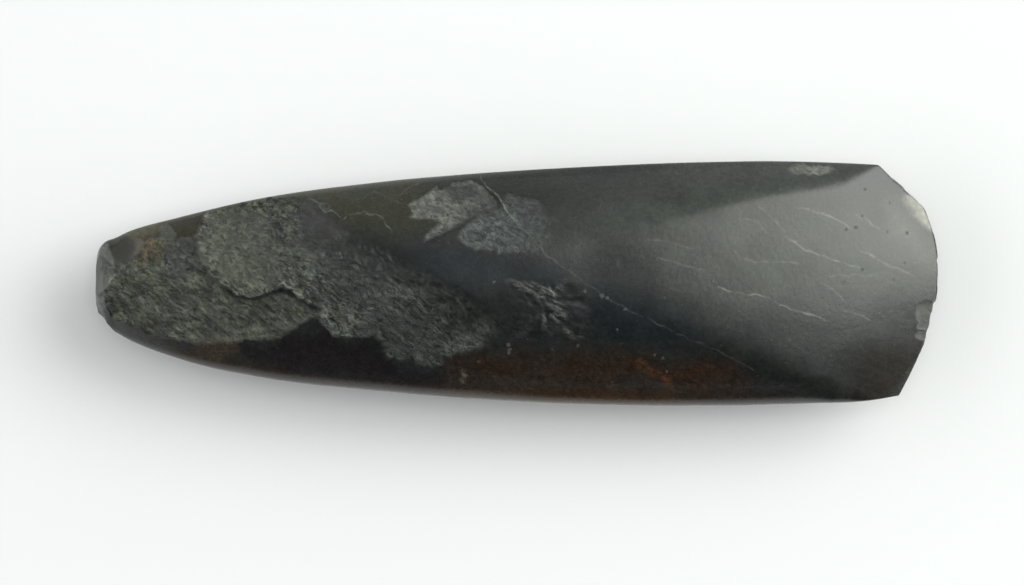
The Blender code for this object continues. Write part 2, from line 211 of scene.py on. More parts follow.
PALE_LOBE = ((66.3, -12.3), (69.8, -11), (75.8, -10.8), (75.6, -12.3), (71.6, -13.7), (66.9, -14.2))
TOP_CHIP = ((132.1, 22.3), (133.8, 23.2), (141.4, 22.6), (140, 21.2), (136.5, 20.8), (133.6, 21.4))
WING_SHADE = ((67.3, 19), (71.6, 19.2), (73.1, 16.3), (70, 14.9), (67.7, 16.3))
EDGE_SCOOP = (
    (157.2, -4), (158.9, -3.4), (161, -3.6), (162, -6), (161, -8.3), (158.9, -8.4), (157.4, -8.2),
    (157, -6.3),
)
EDGE_SCOOP_LOW = ((157.2, -8.8), (161, -8.7), (161, -10.2), (157.8, -10.4), (156.9, -9.8))
EDGE_SCOOP_LINE = ((156.7, -8.5), (158, -8.6), (161, -8.4))
EDGE_NOTCH = ((159.6, -1.9), (162, -1.9), (162, -3.7), (159.9, -3.5))
EDGE_HALO = ((150.1, 15.3), (154.9, 13.6), (161, 6.7), (161.5, 1.9), (156.8, 4.4), (152, 8.6))
PIT = ((99.8, 5.3), (100.8, 5.3), (101, 4), (100.4, 3), (99.6, 3.2))

BROWN_ZONE = (
    (66.9, -14.2), (77.3, -12.7), (88.7, -12.7), (100, -12.3), (111.4, -13.9), (119.1, -15.4),
    (126.7, -17.7), (123, -20.4), (113.5, -21.2), (96.4, -21.6), (77.3, -20.4), (65.9, -18.1),
)
BLUE_ZONES = (
    ((58.4, 6.6), (64.1, 7), (71.7, 5.5), (81.1, 4.3), (88.7, 2.4), (88.7, 0), (77.3, 0.5), (67.9, 0.9),
     (61.3, 3.2)),
    ((95, -0.5), (98, 0), (105.7, -1.9), (111.4, -5.7), (115.2, -10.1), (107.6, -11.4), (97, -10.4),
     (94, -5)),
)
TOP_REMNANT = (
    (13.7, 11.9), (16, 12.8), (20.6, 13.8), (20.6, 12), (19.9, 10.3), (19.2, 9.3), (15.9, 9.3), (15, 10.5),
)
PURPLE_ZONES = (
    ((16, 8.6), (19.7, 8.9), (20, 5.7), (21.4, 3.2), (20.5, 1.9), (16.6, 2.8)),
    ((37.2, 15.3), (41.4, 15.6), (45, 13.3), (48, 10), (47.1, 7.5), (42.3, 7.6), (38.4, 10.4)),
)
ORANGE_OLIVE = ((7, 9), (10.5, 9.4), (12.9, 8.6), (13.6, 6.6), (12.3, 4.4), (8.9, 4.2), (7.2, 6.3))
OLIVE_BAND = ((4, 9), (8, 11), (12, 12.5), (13, 10.5), (9, 8.5), (6, 8))
PURPLE_SHADE = (
    (26, -12.5), (34, -11.5), (44, -8.5), (54, -12), (60, -16.5), (68, -18), (66, -21), (50, -20),
    (34, -17.5),
)
PALE_FACET = ((12.2, 11.3), (14.1, 12.1), (15.4, 10.5), (15.9, 9.3), (14.8, 8.6), (12.5, 8.6))
RUSTY_EDGE = ((19.2, -10.9), (27.4, -10.8), (27.8, -12.8), (24.9, -13.7), (20, -14.3), (18.5, -12.8))
PALE_EDGE_PATCH = ((154.9, 17.2), (158.7, 16.9), (160.1, 14), (160.6, 10.2), (158.7, 11.5), (156.2, 13.4))
PALE_SMUDGE = ((69.6, -15), (70.9, -15.4), (71.5, -16.8), (70.7, -18.8), (69.9, -17.8), (70.3, -16.4))
# Darker patches on the broken stone: their middles, their reach along and across, how much darker.
DARKER_PATCHES = (
    (55.0, 3.8, 8.0, 4.4, 0.9), (63.0, -7.0, 6.0, 3.2, 0.35), (45.0, 7.0, 5.5, 4.0, 0.35),
    (33.0, 4.8, 3.2, 3.0, 0.45), (38.5, 11.5, 7.0, 2.6, 0.25), (33.5, -3.5, 4.0, 2.4, 0.3),
    (59.2, -7.2, 5.0, 4.0, 0.6), (54.0, -10.5, 3.5, 2.5, 0.4), (50.0, -1.5, 4.0, 3.0, 0.2),
    (61.0, -12.6, 6.5, 2.6, 0.3), (13.0, 9.6, 4.0, 3.0, 0.22), (68.5, 18.6, 6.0, 3.0, 0.45),
    (29.5, 9.5, 5.0, 4.0, 0.28), (8.0, 7.0, 7.0, 4.0, 0.2), (24.0, -1.5, 3.0, 2.0, 0.2),
    (49.0, 1.0, 5.0, 4.0, 0.25), (28.5, 13.0, 3.0, 2.0, 0.35), (81.0, 3.6, 6.0, 2.6, 0.6),
    (79.5, -2.2, 4.0, 2.6, 0.5),
)
ORANGE_STREAK = ((103.3, -14.6), (105.8, -16.1), (108.1, -17.5), (109.3, -18.3))

# Each vein: how strongly it shows, then its course.
VEINS = (
    (0.7, ((73.6, 20.6), (74.8, 18.7))),
    (1.3, ((74.8, 18.7), (76.7, 16.9), (77.9, 15.4), (79.4, 13.1), (80.2, 11.9))),
    (0.7, ((80.2, 11.9), (83, 9.4), (85.8, 6), (88.7, 3.8))),
    (0.4, ((88.7, 3.8), (91.5, 1.9), (94.3, -0.2), (96.8, -2.1), (100.4, -4.2), (104.8, -6.1),
           (108.6, -8.2))),
    (0.3, ((108.6, -8.2), (113.3, -10.4), (118.1, -12.3), (121.9, -14.2), (125.8, -16.2))),
    (1.2, ((134.4, 14.5), (137.3, 14.1), (140.2, 13.1), (144.1, 11.1))),
    (0.9, ((123.9, 12.7), (126.2, 12), (127.7, 10.1))),
    (0.9, ((126.8, 14.6), (128.7, 13.3), (130.2, 11.4), (131.5, 10.1))),
    (1.3, ((131.5, 9.5), (133.4, 8), (135.3, 6.6), (138.2, 5.7), (143.1, 4), (146, 3.2))),
    (0.8, ((104.8, 8.5), (108.6, 8.3), (111.4, 7.2), (115.2, 6.6))),
    (0.8, ((107.6, 4.7), (111.4, 4), (115.2, 2.8))),
    (1.0, ((121.9, 6.2), (123.8, 4.9), (125.7, 4.4), (132.4, 4.4), (135.3, 3.8))),
    (1.3, ((119, -0.6), (121.9, -1.3), (125.7, -1.9), (128.6, -2.7))),
    (1.1, ((130.5, -3.8), (134.3, -5.1), (139.2, -6.7))),
    (1.0, ((139.2, 0), (141.1, -1.2), (143, -2.9))),
    (1.3, ((146.9, 6.3), (148.9, 5.3), (150.8, 4.2), (156.1, 1.9))),
    (0.9, ((140.1, 1.7), (144, 1.9), (148.9, 1.7))),
    (0.9, ((145.1, 13.4), (148, 12), (149.9, 10.5))),
    (0.9, ((143, -4.8), (145.6, -5.7), (147.9, -6.7))),
    (0.95, ((47.9, 12.5), (49.2, 13.7), (51.7, 13.9), (53.6, 13.3), (55.1, 12.5), (55.7, 11.4),
            (56.3, 10.6))),
    (0.3, ((49.7, 16.2), (53.4, 17.8), (58.3, 15.6))),
    (0.9, ((41.5, 16.3), (42.8, 15.5), (44.6, 15.0))),
    (0.9, ((42.9, 14.9), (44.0, 13.9), (45.2, 14.3), (46.6, 13.2))),
    (0.5, ((58.2, 17.2), (59.7, 18.5), (61.6, 19.3))),
)

PALE_SPOTS = (
    (76.2, 0.5, 0.4), (93.4, -1.2, 0.3), (87.2, -12.3, 0.25), (79, -11.4, 0.45), (79, -12.9, 0.4),
    (99.6, -8.5, 0.3), (92.1, -11.6, 0.3), (16, 7.6, 0.5), (96.6, -2.1, 0.5), (97.7, -2.5, 0.4),
    (101, -4.6, 0.4), (79.2, -12.3, 0.4), (70.8, -17.7, 0.3), (73.2, -14.6, 0.3), (106.7, -13.3, 0.3),
    (108.2, -13.9, 0.3), (109, -16.5, 0.3), (130.8, 18.1, 0.25), (135.3, 1.9, 0.2), (132.4, -10.5, 0.2),
    (129, -10.5, 0.2), (117.7, 0.6, 0.2), (108.5, -2.5, 0.2),
)
DARK_PITS = (
    (147.1, 18.2, 0.35), (151.9, 15.7, 0.3), (146.4, 13.2, 0.3), (145.2, 10.9, 0.4), (143.3, 10.5, 0.3),
    (151.3, 10.1, 0.3), (155.2, 9.9, 0.35), (154.7, 4.2, 0.3), (152.4, 1, 0.3), (146.5, 3, 0.3),
    (143, 0.6, 0.3), (119, 0.4, 0.3), (102.6, 22.2, 0.5),
)

# Flakes that came away as shells: a point inside, the way out from there, the ball's radius and how far
# it dips.
LOST_SHELLS = {
    "butt_face": ((2.0, 2.8, 1.0), (-1, 0.05, 0.75), 14, 1.0),
    "butt_face_right": ((3.0, -4.6, 0.5), (-1, -0.5, 0.35), 12, 0.7),
    "butt_shoulder_left": ((7.0, 5.0, 3.0), (-0.3, 0.6, 0.8), 14, 0.7),
    "butt_right": ((5.0, -4.5, 0.0), (-1, -0.9, 0.0), 11, 0.9),
    "butt_under": ((6.0, 0.0, -3.0), (-0.5, 0.1, -1), 26, 0.9),
    "under_left": ((24.0, 9.0, -4.0), (0.1, 0.5, -1), 40, 0.5),
    "under_right": ((42.0, -12.0, -4.0), (0.0, -0.6, -1), 45, 0.6),
}
EDGE_CHIPS = {
    "notch_middle": ((157.0, 4.6, 0.0), (1, 0, 0), 0.9, 0.3),
    "notch_upper": ((156.0, -3.7, 0.0), (1, -0.05, 0), 1.0, 0.7),
    "notch_wide": ((155.0, -5.9, 0.0), (1, -0.1, 0), 3.0, 0.6),
    "notch_lower": ((155.5, -8.6, 0.0), (1, -0.1, 0), 1.3, 0.7),
    "nick_low": ((153.0, -14.6, 0.0), (1, -0.3, 0), 1.4, 0.25),
    "nick_high": ((155.0, 11.4, 0.0), (1, 0.3, 0), 1.5, 0.25),
}


# ---------------------------------------------------------------- small tools for shapes
def smooth_curve(stations, values, at):
    """A smooth curve through the values at their stations, read at the places given."""
    stations = np.array(stations, float)
    values = np.array(values, float)
    slopes = np.gradient(values, stations)
    at = np.clip(at, stations[0], stations[-1])
    i = np.clip(np.searchsorted(stations, at) - 1, 0, len(stations) - 2)
    span = stations[i + 1] - stations[i]
    t = (at - stations[i]) / span
    start = (1 + 2 * t) * (1 - t) ** 2 * values[i] + t * (1 - t) ** 2 * span * slopes[i]
    return start + t * t * (3 - 2 * t) * values[i + 1] + t * t * (t - 1) * span * slopes[i + 1]


def ramp(low, high, value):
    """0 up to the low end, 1 from the high end on, and an S curve between them."""
    t = np.clip((value - low) / (high - low), 0, 1)
    return t * t * (3 - 2 * t)


def bell(value, width):
    """1 where the value is 0, falling away on both sides of it over about the width."""
    return np.exp(-((value / width) ** 2))


def lower_of(a, b, softness):
    """The smaller of two heights, its crease rounded over about the softness."""
    return np.minimum(a, b) - np.maximum(softness - np.abs(a - b), 0) ** 2 / (4 * softness)


def eased(value, softness):
    """The value where it is positive and 0 elsewhere, the corner between rounded over."""
    return np.where(value > softness, value, np.maximum(value + softness, 0) ** 2 / (4 * softness))


def lumps(points, size, seed):
    """Smooth random values from about -1 to 1, with one lump to a size."""
    rng = np.random.default_rng(seed)
    table = rng.permutation(256)
    slopes = rng.normal(size=(256, 3))
    slopes /= np.linalg.norm(slopes, axis=1, keepdims=True)
    place = points / np.array(size, float)
    cell = np.floor(place).astype(int)
    part = place - cell
    weight = part**3 * (part * (part * 6 - 15) + 10)
    total = np.zeros(points.shape[:-1])
    for corner in np.ndindex(2, 2, 2):
        key = 0
        for axis in range(3):
            key = table[(key + cell[..., axis] + corner[axis]) & 255]
        share = np.prod(np.where(corner, weight, 1 - weight), axis=-1)
        total += share * np.sum(slopes[key] * (part - corner), axis=-1)
    return total * 1.7


def flakes(points, size, seed):
    """Flat facets at random tilts, as in split stone: their heights, and each one's number from 0 to 1."""
    rng = np.random.default_rng(seed)
    table = rng.permutation(256)
    seat = rng.uniform(0.1, 0.9, (256, 2))
    tilt = rng.normal(0, 1, (256, 2))
    level = rng.uniform(-0.6, 0.6, 256)
    own = rng.uniform(0, 1, 256)
    place = points[..., :2] / np.array(size, float)
    cell = np.floor(place).astype(int)
    nearest = np.full(place.shape[:-1], np.inf)
    height = np.zeros(nearest.shape)
    number = np.zeros(nearest.shape)
    for dx, dy in np.ndindex(3, 3):
        here = cell + (dx - 1, dy - 1)
        key = table[(table[here[..., 0] & 255] + here[..., 1]) & 255]
        away = place - here - seat[key]
        distance = np.sum(away**2, axis=-1)
        closer = distance < nearest
        nearest = np.where(closer, distance, nearest)
        height = np.where(closer, level[key] + np.sum(tilt[key] * away, axis=-1), height)
        number = np.where(closer, own[key], number)
    return height, number


def turned(points, degrees):
    """The points as seen along a direction at this angle from X towards Y."""
    c = math.cos(math.radians(degrees))
    s = math.sin(math.radians(degrees))
    x, y, z = np.moveaxis(points, -1, 0)
    return np.stack([x * c + y * s, y * c - x * s, z], axis=-1)


def stretches(x, y, line):
    """Each straight stretch of a line, with the distance of every place from it."""
    for (ax, ay), (bx, by) in zip(line, line[1:]):
        ex = bx - ax
        ey = by - ay
        t = np.clip(((x - ax) * ex + (y - ay) * ey) / (ex * ex + ey * ey), 0, 1)
        yield ax, ay, bx, by, np.hypot(x - ax - t * ex, y - ay - t * ey)


def inside_distance(x, y, outline):
    """How far in from an outline each place lies, and negative outside it."""
    nearest = np.full(x.shape, np.inf)
    inside = np.zeros(x.shape, bool)
    for ax, ay, bx, by, distance in stretches(x, y, outline + outline[:1]):
        nearest = np.minimum(nearest, distance)
        if ay != by:
            inside ^= ((ay > y) != (by > y)) & (x < ax + (y - ay) * (bx - ax) / (by - ay))
    return np.where(inside, nearest, -nearest)


def line_offset(x, y, line):
    """Distance to a line, positive on its left side and negative on its right."""
    nearest = np.full(x.shape, np.inf)
    side = np.ones(x.shape)
    for ax, ay, bx, by, distance in stretches(x, y, line):
        closer = distance < nearest
        nearest = np.where(closer, distance, nearest)
        side = np.where(closer, np.sign((bx - ax) * (y - ay) - (by - ay) * (x - ax)), side)
    return nearest * np.where(side == 0, 1, side)


def within(x, y, softness, *outlines):
    """1 inside any of the outlines and 0 outside them all, their edges this soft."""
    return np.maximum.reduce([ramp(-softness, softness, inside_distance(x, y, line)) for line in outlines])


def ragged(points, size, reach, seed):
    """Places shifted by a little noise, so that an outline read there comes out ragged."""
    x = points[..., 0] + reach * lumps(points, size, seed)
    y = points[..., 1] + reach * lumps(points, size, seed + 1)
    return x, y


def soft_zone(points, outline, softness, seed):
    """1 inside an outline that wanders widely, with a soft edge."""
    return within(*ragged(points, 5, 1.6, seed), softness, outline)


# ---------------------------------------------------------------- the ground form
def blended(pair, share):
    """A value between a pair's: the first where the share is 1, and the second where it is 0."""
    return pair[1] + (pair[0] - pair[1]) * share


def upright(inset):
    return np.sqrt(np.clip(inset / UPRIGHT_INSET, 0, 1))


def body_height(inset, width, thickness, leftness):
    """The body's half section: a rounded side, then a face that rises ever more gently to the middle."""
    rounding = thickness * blended(BODY_ROUNDINGS, leftness)
    strip = thickness * blended(BODY_UPRIGHTS, leftness)
    turn = rounding / (2 * BODY_FACE_SLOPE**2)
    start = strip + rounding / BODY_FACE_SLOPE
    reach = np.maximum(width - turn, 0.1)
    power = np.maximum(BODY_FACE_SLOPE * reach / (thickness - start), 1.3)
    across = 1 - np.clip((inset - turn) / reach, 0, 1)
    face = start + (thickness - start) * (1 - across**power)
    return np.where(inset < turn, strip * upright(inset) + np.sqrt(2 * rounding * inset), face)


def face_height(station, across, up, thickness, leftness):
    """The flanks' lens and the flatter ground face, whichever is lower, with a soft arris between them."""
    power = np.where(across > 0, LENS_POWERS[0], LENS_POWERS[1])
    power = np.where(up > 0, power, LENS_POWERS[2])
    wide_left = np.interp(station, LENS_STATIONS, LEFT_LENS_WIDTHS)
    wide_right = np.interp(station, LENS_STATIONS, RIGHT_LENS_WIDTHS)
    lens = thickness * (1 - (np.abs(across) / np.where(across > 0, wide_left, wide_right)) ** power)
    ground = thickness - np.maximum(station - CREST, 0) ** 2 / (2 * BLADE_RADIUS)
    ground = ground - np.maximum(station - BEVEL_START, 0) ** 2 / (2 * BEVEL_RADIUS)
    ground = np.maximum(ground, 1e-6) * (1 - FACE_CROWN * across**2)
    tighter = blended(ARRIS_TIGHTNESS, leftness) - BODY_TIGHTNESS
    tight = BODY_TIGHTNESS + tighter * ramp(*ARRIS_STATIONS, station)
    fuller = (2 ** (1 / BODY_TIGHTNESS) - 1) * (1 - ramp(*FULLER_STATIONS, station))
    return (1 + fuller * (1 - across**2)) * (lens**-tight + ground**-tight) ** (-1 / tight)


def flank_height(station, inset, leftness):
    """The blade's sides: upright strips, then the straight left flank and the steepening right one."""
    turn = LEFT_ROUNDING / (2 * LEFT_SLOPE**2)
    left = np.where(inset < turn, np.sqrt(2 * LEFT_ROUNDING * inset), LEFT_SLOPE * (turn + inset))
    left = left + np.interp(station, SIDE_STATIONS, LEFT_UPRIGHTS) * upright(inset)
    steepening = RIGHT_STEEPENING * (1 - ramp(*RIGHT_EVEN_STATIONS, station))
    right = np.sqrt(2 * np.interp(station, SIDE_STATIONS, RIGHT_ROUNDINGS) * inset)
    right = right + steepening * np.maximum(inset - RIGHT_STRIP, 0) ** 2
    right = right + np.interp(station, SIDE_STATIONS, RIGHT_UPRIGHTS) * upright(inset)
    return right + (left - right) * leftness


def body_points(station, angle):
    """The axe head as it was ground, before any damage, for stations and angles around."""
    bend = np.clip((station - EDGE_BEND_START) / (LENGTH - EDGE_BEND_START), 0, 1)
    across = np.cos(angle)
    up = np.sin(angle)
    reach = across * np.where(across > 0, LEFT_WIDTHS[-1], RIGHT_WIDTHS[-1])
    edge_radius = np.where(reach > EDGE_MIDDLE, *EDGE_RADII)
    x = station - bend**EDGE_BEND_POWER * (reach - EDGE_MIDDLE) ** 2 / (2 * edge_radius)
    t = np.clip(x / BUTT_ROUNDING, 0, 1)
    share = BUTT_END_SHARE + (1 - BUTT_END_SHARE) * np.sqrt(1 - (1 - t) ** 2)
    left, right = (smooth_curve(WIDTH_STATIONS, widths, x) for widths in (LEFT_WIDTHS, RIGHT_WIDTHS))
    width = np.where(across > 0, left, right) * share
    y = across * width
    inset = (1 - np.abs(across)) * width
    leftness = ramp(-MIDDLE_SHARE, MIDDLE_SHARE, across)
    thickness = smooth_curve(THICKNESS_STATIONS, THICKNESSES, x) * share
    body = body_height(inset, width, thickness, leftness)
    face = face_height(station, across, up, thickness, leftness)
    softness = blended(FLANK_SOFTNESS, 1 - ramp(*FLANK_CRISP_STATIONS, station))
    softness = softness * np.clip(face / THIN_FACE, 0.02, 1)
    blade = lower_of(face, flank_height(station, inset, leftness), softness)
    height = body + (blade - body) * ramp(*BODY_TO_BLADE, station)
    droop = CORNER_DROOP * np.maximum(-y - DROOP_START, 0) ** 2 * ramp(*DROOP_STATIONS, station)
    most = MOST_DROOP * np.maximum(height, 0.01)
    height = np.maximum(height - most * (1 - np.exp(-droop / most)), 0)
    z = np.sign(up) * height
    c = math.cos(ROLL)
    s = math.sin(ROLL)
    return np.stack([x, y * c - z * s, y * s + z * c], axis=-1)


def column_angles():
    """Angles around the section: most columns run over the top, and they lie closer along the middle."""
    over = np.arange(TOP_COLUMNS) / TOP_COLUMNS
    under = np.arange(UNDER_COLUMNS + 1) / UNDER_COLUMNS
    turn = np.concatenate([over, 1 + under])
    return math.pi * (turn + CROWDING * np.sin(math.tau * turn) / math.tau)


def ring_stations():
    """Stations of the rings behind the butt's cap: closest over the damage, and closer again at the edge."""
    t = np.arange(RINGS + 1 - CAP_RINGS) / (RINGS - CAP_RINGS)
    near = (np.minimum(t, DAMAGED_SHARE) / DAMAGED_SHARE) ** 1.06
    far = np.clip((t - DAMAGED_SHARE) / (1 - DAMAGED_SHARE), 0, 1)
    far = (1 + CROWDING) * far - CROWDING * far * far
    return DAMAGED_LENGTH * near + (LENGTH - DAMAGED_LENGTH) * far


def ground_form():
    """The whole ground form as rings of points, the butt closed by a cap of rings drawn in to one point."""
    station, angle = np.meshgrid(ring_stations(), column_angles(), indexing="ij")
    body = body_points(station, angle)
    body[-1, :, 2] = body[-1, :, 1] * math.tan(ROLL)  # the cutting edge has no thickness
    first = body[0]
    centre = np.array([0.0, *((first.min(axis=0) + first.max(axis=0)) / 2)[1:]])
    scale = (np.arange(CAP_RINGS) / CAP_RINGS)[:, None, None]
    return np.concatenate([centre + (first - centre) * scale, body])


def outward(points):
    """The direction straight out of the surface at every point of the rings."""
    along = np.gradient(points, axis=0)
    ring = points[:, :-1]
    around = np.roll(ring, -1, axis=1) - np.roll(ring, 1, axis=1)
    around = np.concatenate([around, around[:, :1]], axis=1)
    normal = np.cross(around, along)
    return normal / np.maximum(np.linalg.norm(normal, axis=-1, keepdims=True), 1e-9)


# ---------------------------------------------------------------- the damage
def shell_lost(points, inside, facing, radius, depth, softness=0.12, roughness=0.0):
    """Presses a ball into the surface. Returns the new points and how deep the ball went at each."""
    facing = np.array(facing, float)
    facing /= np.linalg.norm(facing)
    reach = (points - inside) @ facing
    beside = np.linalg.norm(points - inside - reach[..., None] * facing, axis=-1)
    surface = reach[(beside < 1.2) & (reach > 0)].max()
    centre = np.array(inside) + facing * (surface + radius - depth)
    away = points - centre
    distance = np.linalg.norm(away, axis=-1)
    pressed = eased(radius - distance + roughness * lumps(points, 1.1, 33), softness)
    return points + away / distance[..., None] * pressed[..., None], pressed


def shells_lost(points, shells, fresh_over, **texture):
    """Takes away every shell of a table. Returns the new points and where the stone is freshly broken."""
    fresh = np.zeros(points.shape[:-1])
    for shell in shells.values():
        points, pressed = shell_lost(points, *shell, **texture)
        fresh = np.maximum(fresh, ramp(0.0, fresh_over, pressed))
    return points, fresh


def corner_clipped(points):
    (ax, ay), (bx, by) = CLIPPED_CORNER
    length = math.hypot(bx - ax, by - ay)
    out = np.array([-(by - ay) / length, (bx - ax) / length, 0.0])
    over = points @ out - (ax * out[0] + ay * out[1]) + 0.25 * lumps(points, (2.2, 2.2, 1.5), 31)
    cut = eased(over, 0.08)
    return points - out * cut[..., None], ramp(0.0, 0.1, cut)


def edge_closed(points):
    """Closes the last ring: each point over the top meets its partner underneath, and pairs merge."""
    last = points[-1]
    for j in range(TOP_COLUMNS // 2 + 1):
        upper = 2 * j
        lower = (COLUMNS - j) % COLUMNS
        last[upper] = (last[upper] + last[lower]) / 2
        last[lower] = last[upper]
    for upper in range(1, TOP_COLUMNS, 2):
        last[upper] = last[upper - 1]
    last[COLUMNS] = last[0]
    return points


def bed_fields(scars, points, rough, wide):
    """The two great beds, where the butt and the upper face split away, and what breaks them up."""
    px, py, _ = np.moveaxis(points, -1, 0)
    top, patchy, speckle = scars.top, scars.patchy, scars.speckle
    scars.step = inside_distance(*rough, BUTT_BED_STEP)
    scars.rim = inside_distance(*rough, BUTT_BED_RIM)
    scars.upper_in = inside_distance(*rough, UPPER_BED)
    fading = -line_offset(*wide, FADE_LINE) + 2.5 * patchy + 1.5 * speckle
    scars.shown = 0.22 + 0.78 * ramp(0, 11, fading)
    scars.vague = ramp(48, 57, px)
    lobe = soft_zone(points, PALE_LOBE, 0.8, 54)
    lost = 0.3 * ramp(60, 68, px + 2.5 * patchy + 1.5 * speckle) * (1 - lobe)
    lower = ramp(-0.1, 0.25, scars.step) * ramp(-0.1, 0.3, scars.rim)
    upper = ramp(
        -0.1, 0.3 + 1.2 * (1 - scars.shown) + 1.5 * scars.vague,
        scars.upper_in + 0.7 * speckle * scars.vague,
    )
    scars.lower = lower * top
    scars.upper = upper * (1 - lower) * (1 - lost) * top
    scars.far = ramp(53, 61, px - 0.45 * (py + 2) + 2.5 * patchy) * (1 - lobe)
    strip = ramp(-0.8, 1.0, inside_distance(*wide, RIPPLED_STRIP))
    bed = ramp(-1.0, 2.0, inside_distance(*wide, RIPPLED_BED))
    scars.ripples = np.maximum(strip, 0.7 * bed) * top
    plateau = inside_distance(*wide, PALE_PLATEAU) + 1.2 * speckle
    scars.plateau = ramp(-1.0, 1.6, plateau) * top
    rim_line = bell(scars.step + 0.25, 0.3) * ramp(-0.5, 0.5, scars.upper_in) * ramp(48, 44, px)
    scars.bright_rim = rim_line * ramp(-0.2, 0.5, speckle + 0.25) * top


def small_scar_fields(scars, points, rough, wide, slight):
    """The winged, stippled and splintered scars, the chips, the pit and the crevice."""
    px, py, _ = np.moveaxis(points, -1, 0)
    top, patchy, speckle = scars.top, scars.patchy, scars.speckle
    scars.winged_in = inside_distance(*slight, WINGED_SCAR)
    scars.winged = ramp(-0.05, 0.15, scars.winged_in) * top
    scars.wall = np.abs(line_offset(px, py, WINGED_SCAR_WALL))
    scars.stippled_in = inside_distance(*rough, STIPPLED_SCAR)
    kept = 1 - 0.9 * ramp(77, 90, px + 3 * speckle + 2 * patchy)
    scars.stippled = ramp(-0.3, 0.9, scars.stippled_in + 0.5 * speckle) * kept * top
    scars.stippled_sunk = 1 - ramp(74, 86, px)
    scars.stippled_rim = bell(scars.stippled_in - 0.5, 0.5) * ramp(75, 71, px) * top
    scars.chip_in = inside_distance(*rough, TOP_CHIP)
    scars.chip = ramp(0.0, 0.3, scars.chip_in) * top
    scars.splintered_in = inside_distance(*wide, SPLINTERED_PATCH)
    scars.splinters = ramp(0.0, 2.5, scars.splintered_in) * top
    wisps = ramp(-0.55, 0.25, lumps(turned(points, -25), (1.7, 0.4, 0.7), 67))
    scars.slivers = within(*rough, 0.5, *SPLINTERS) * wisps * top
    scars.soft_slivers = within(*rough, 0.7, *SOFT_SPLINTERS) * top
    scars.gaps = within(*rough, 0.5, *SPLINTER_GAPS) * top
    scars.pit_in = inside_distance(*slight, PIT)
    scars.pit = ramp(-0.1, 0.3, scars.pit_in) * top
    low_scoop = inside_distance(*slight, EDGE_SCOOP_LOW)
    scars.scoop_in = np.maximum(inside_distance(*rough, EDGE_SCOOP), low_scoop)
    scars.scoop = ramp(-0.1, 0.3, scars.scoop_in) * top
    scars.scoop_line = bell(line_offset(*slight, EDGE_SCOOP_LINE), 0.22) * top
    scars.notch = within(*slight, 0.2, EDGE_NOTCH) * top
    scars.crevice = bell(line_offset(*slight, CREVICE), 0.7) * scars.lower


def hollow_fields(scars, px, py):
    """Two shallow hollows in the polish: one along the upper bed's far edge, one beyond it."""
    below = -line_offset(px, py, FADE_LINE) - 5.0
    across = bell(below, np.where(below < 0, 4.0, 9.0))
    scars.long_hollow = across * ramp(44, 54, px) * ramp(76, 66, px) * scars.top
    scars.far_hollow = bell(px - 80, 8) * bell(py + 1.0, np.where(py > -1.0, 5.0, 8.0)) * scars.top


def scar_fields(points, normal):
    """How far inside each scar every point lies, and how much of each scar shows there."""
    px, py, _ = np.moveaxis(points, -1, 0)
    scars = SimpleNamespace(
        top=ramp(0.05, 0.3, normal[..., 2]),
        patchy=lumps(points, (4.0, 2.5, 2.5), 15),
        speckle=lumps(points, (0.9, 0.7, 0.8), 16),
    )
    wide = ragged(points, 1.6, 0.45, 11)
    slight = ragged(points, 0.8, 0.2, 13)
    rough = (slight[0] + wide[0] - px, slight[1] + wide[1] - py)
    bed_fields(scars, points, rough, wide)
    small_scar_fields(scars, points, rough, wide, slight)
    hollow_fields(scars, px, py)
    return scars


def sunk(distance, width):
    """0 outside an outline, rising to 1 inside it within about the width."""
    return 1 - np.exp(-np.maximum(distance, 0) / width)


def scar_depths(scars):
    """How far the scars sink below the ground form, in millimetres."""
    fading = np.maximum(1 - scars.shown, 0.4 * scars.vague)
    wing = np.clip(1 - scars.wall / 8, 0.3, 1)
    depth = np.maximum.reduce([
        1.3 * sunk(scars.step, 0.28) * sunk(scars.rim, 1.8) + 0.45 * scars.crevice,
        0.45 * sunk(scars.upper_in, 0.7 + 4.0 * fading),
        0.45 * wing * sunk(scars.winged_in, 0.2),
        0.2 * sunk(scars.stippled_in, 0.6) * scars.stippled_sunk,
        0.3 * sunk(scars.chip_in, 0.4),
        0.12 * sunk(scars.pit_in, 0.5),
        0.28 * sunk(scars.scoop_in, 0.4),
        0.15 * sunk(scars.splintered_in, 1.5),
    ])
    depth = depth + 0.75 * scars.long_hollow + 0.35 * scars.far_hollow
    return depth + 0.14 * scars.gaps - 0.05 * scars.slivers - 0.04 * scars.soft_slivers


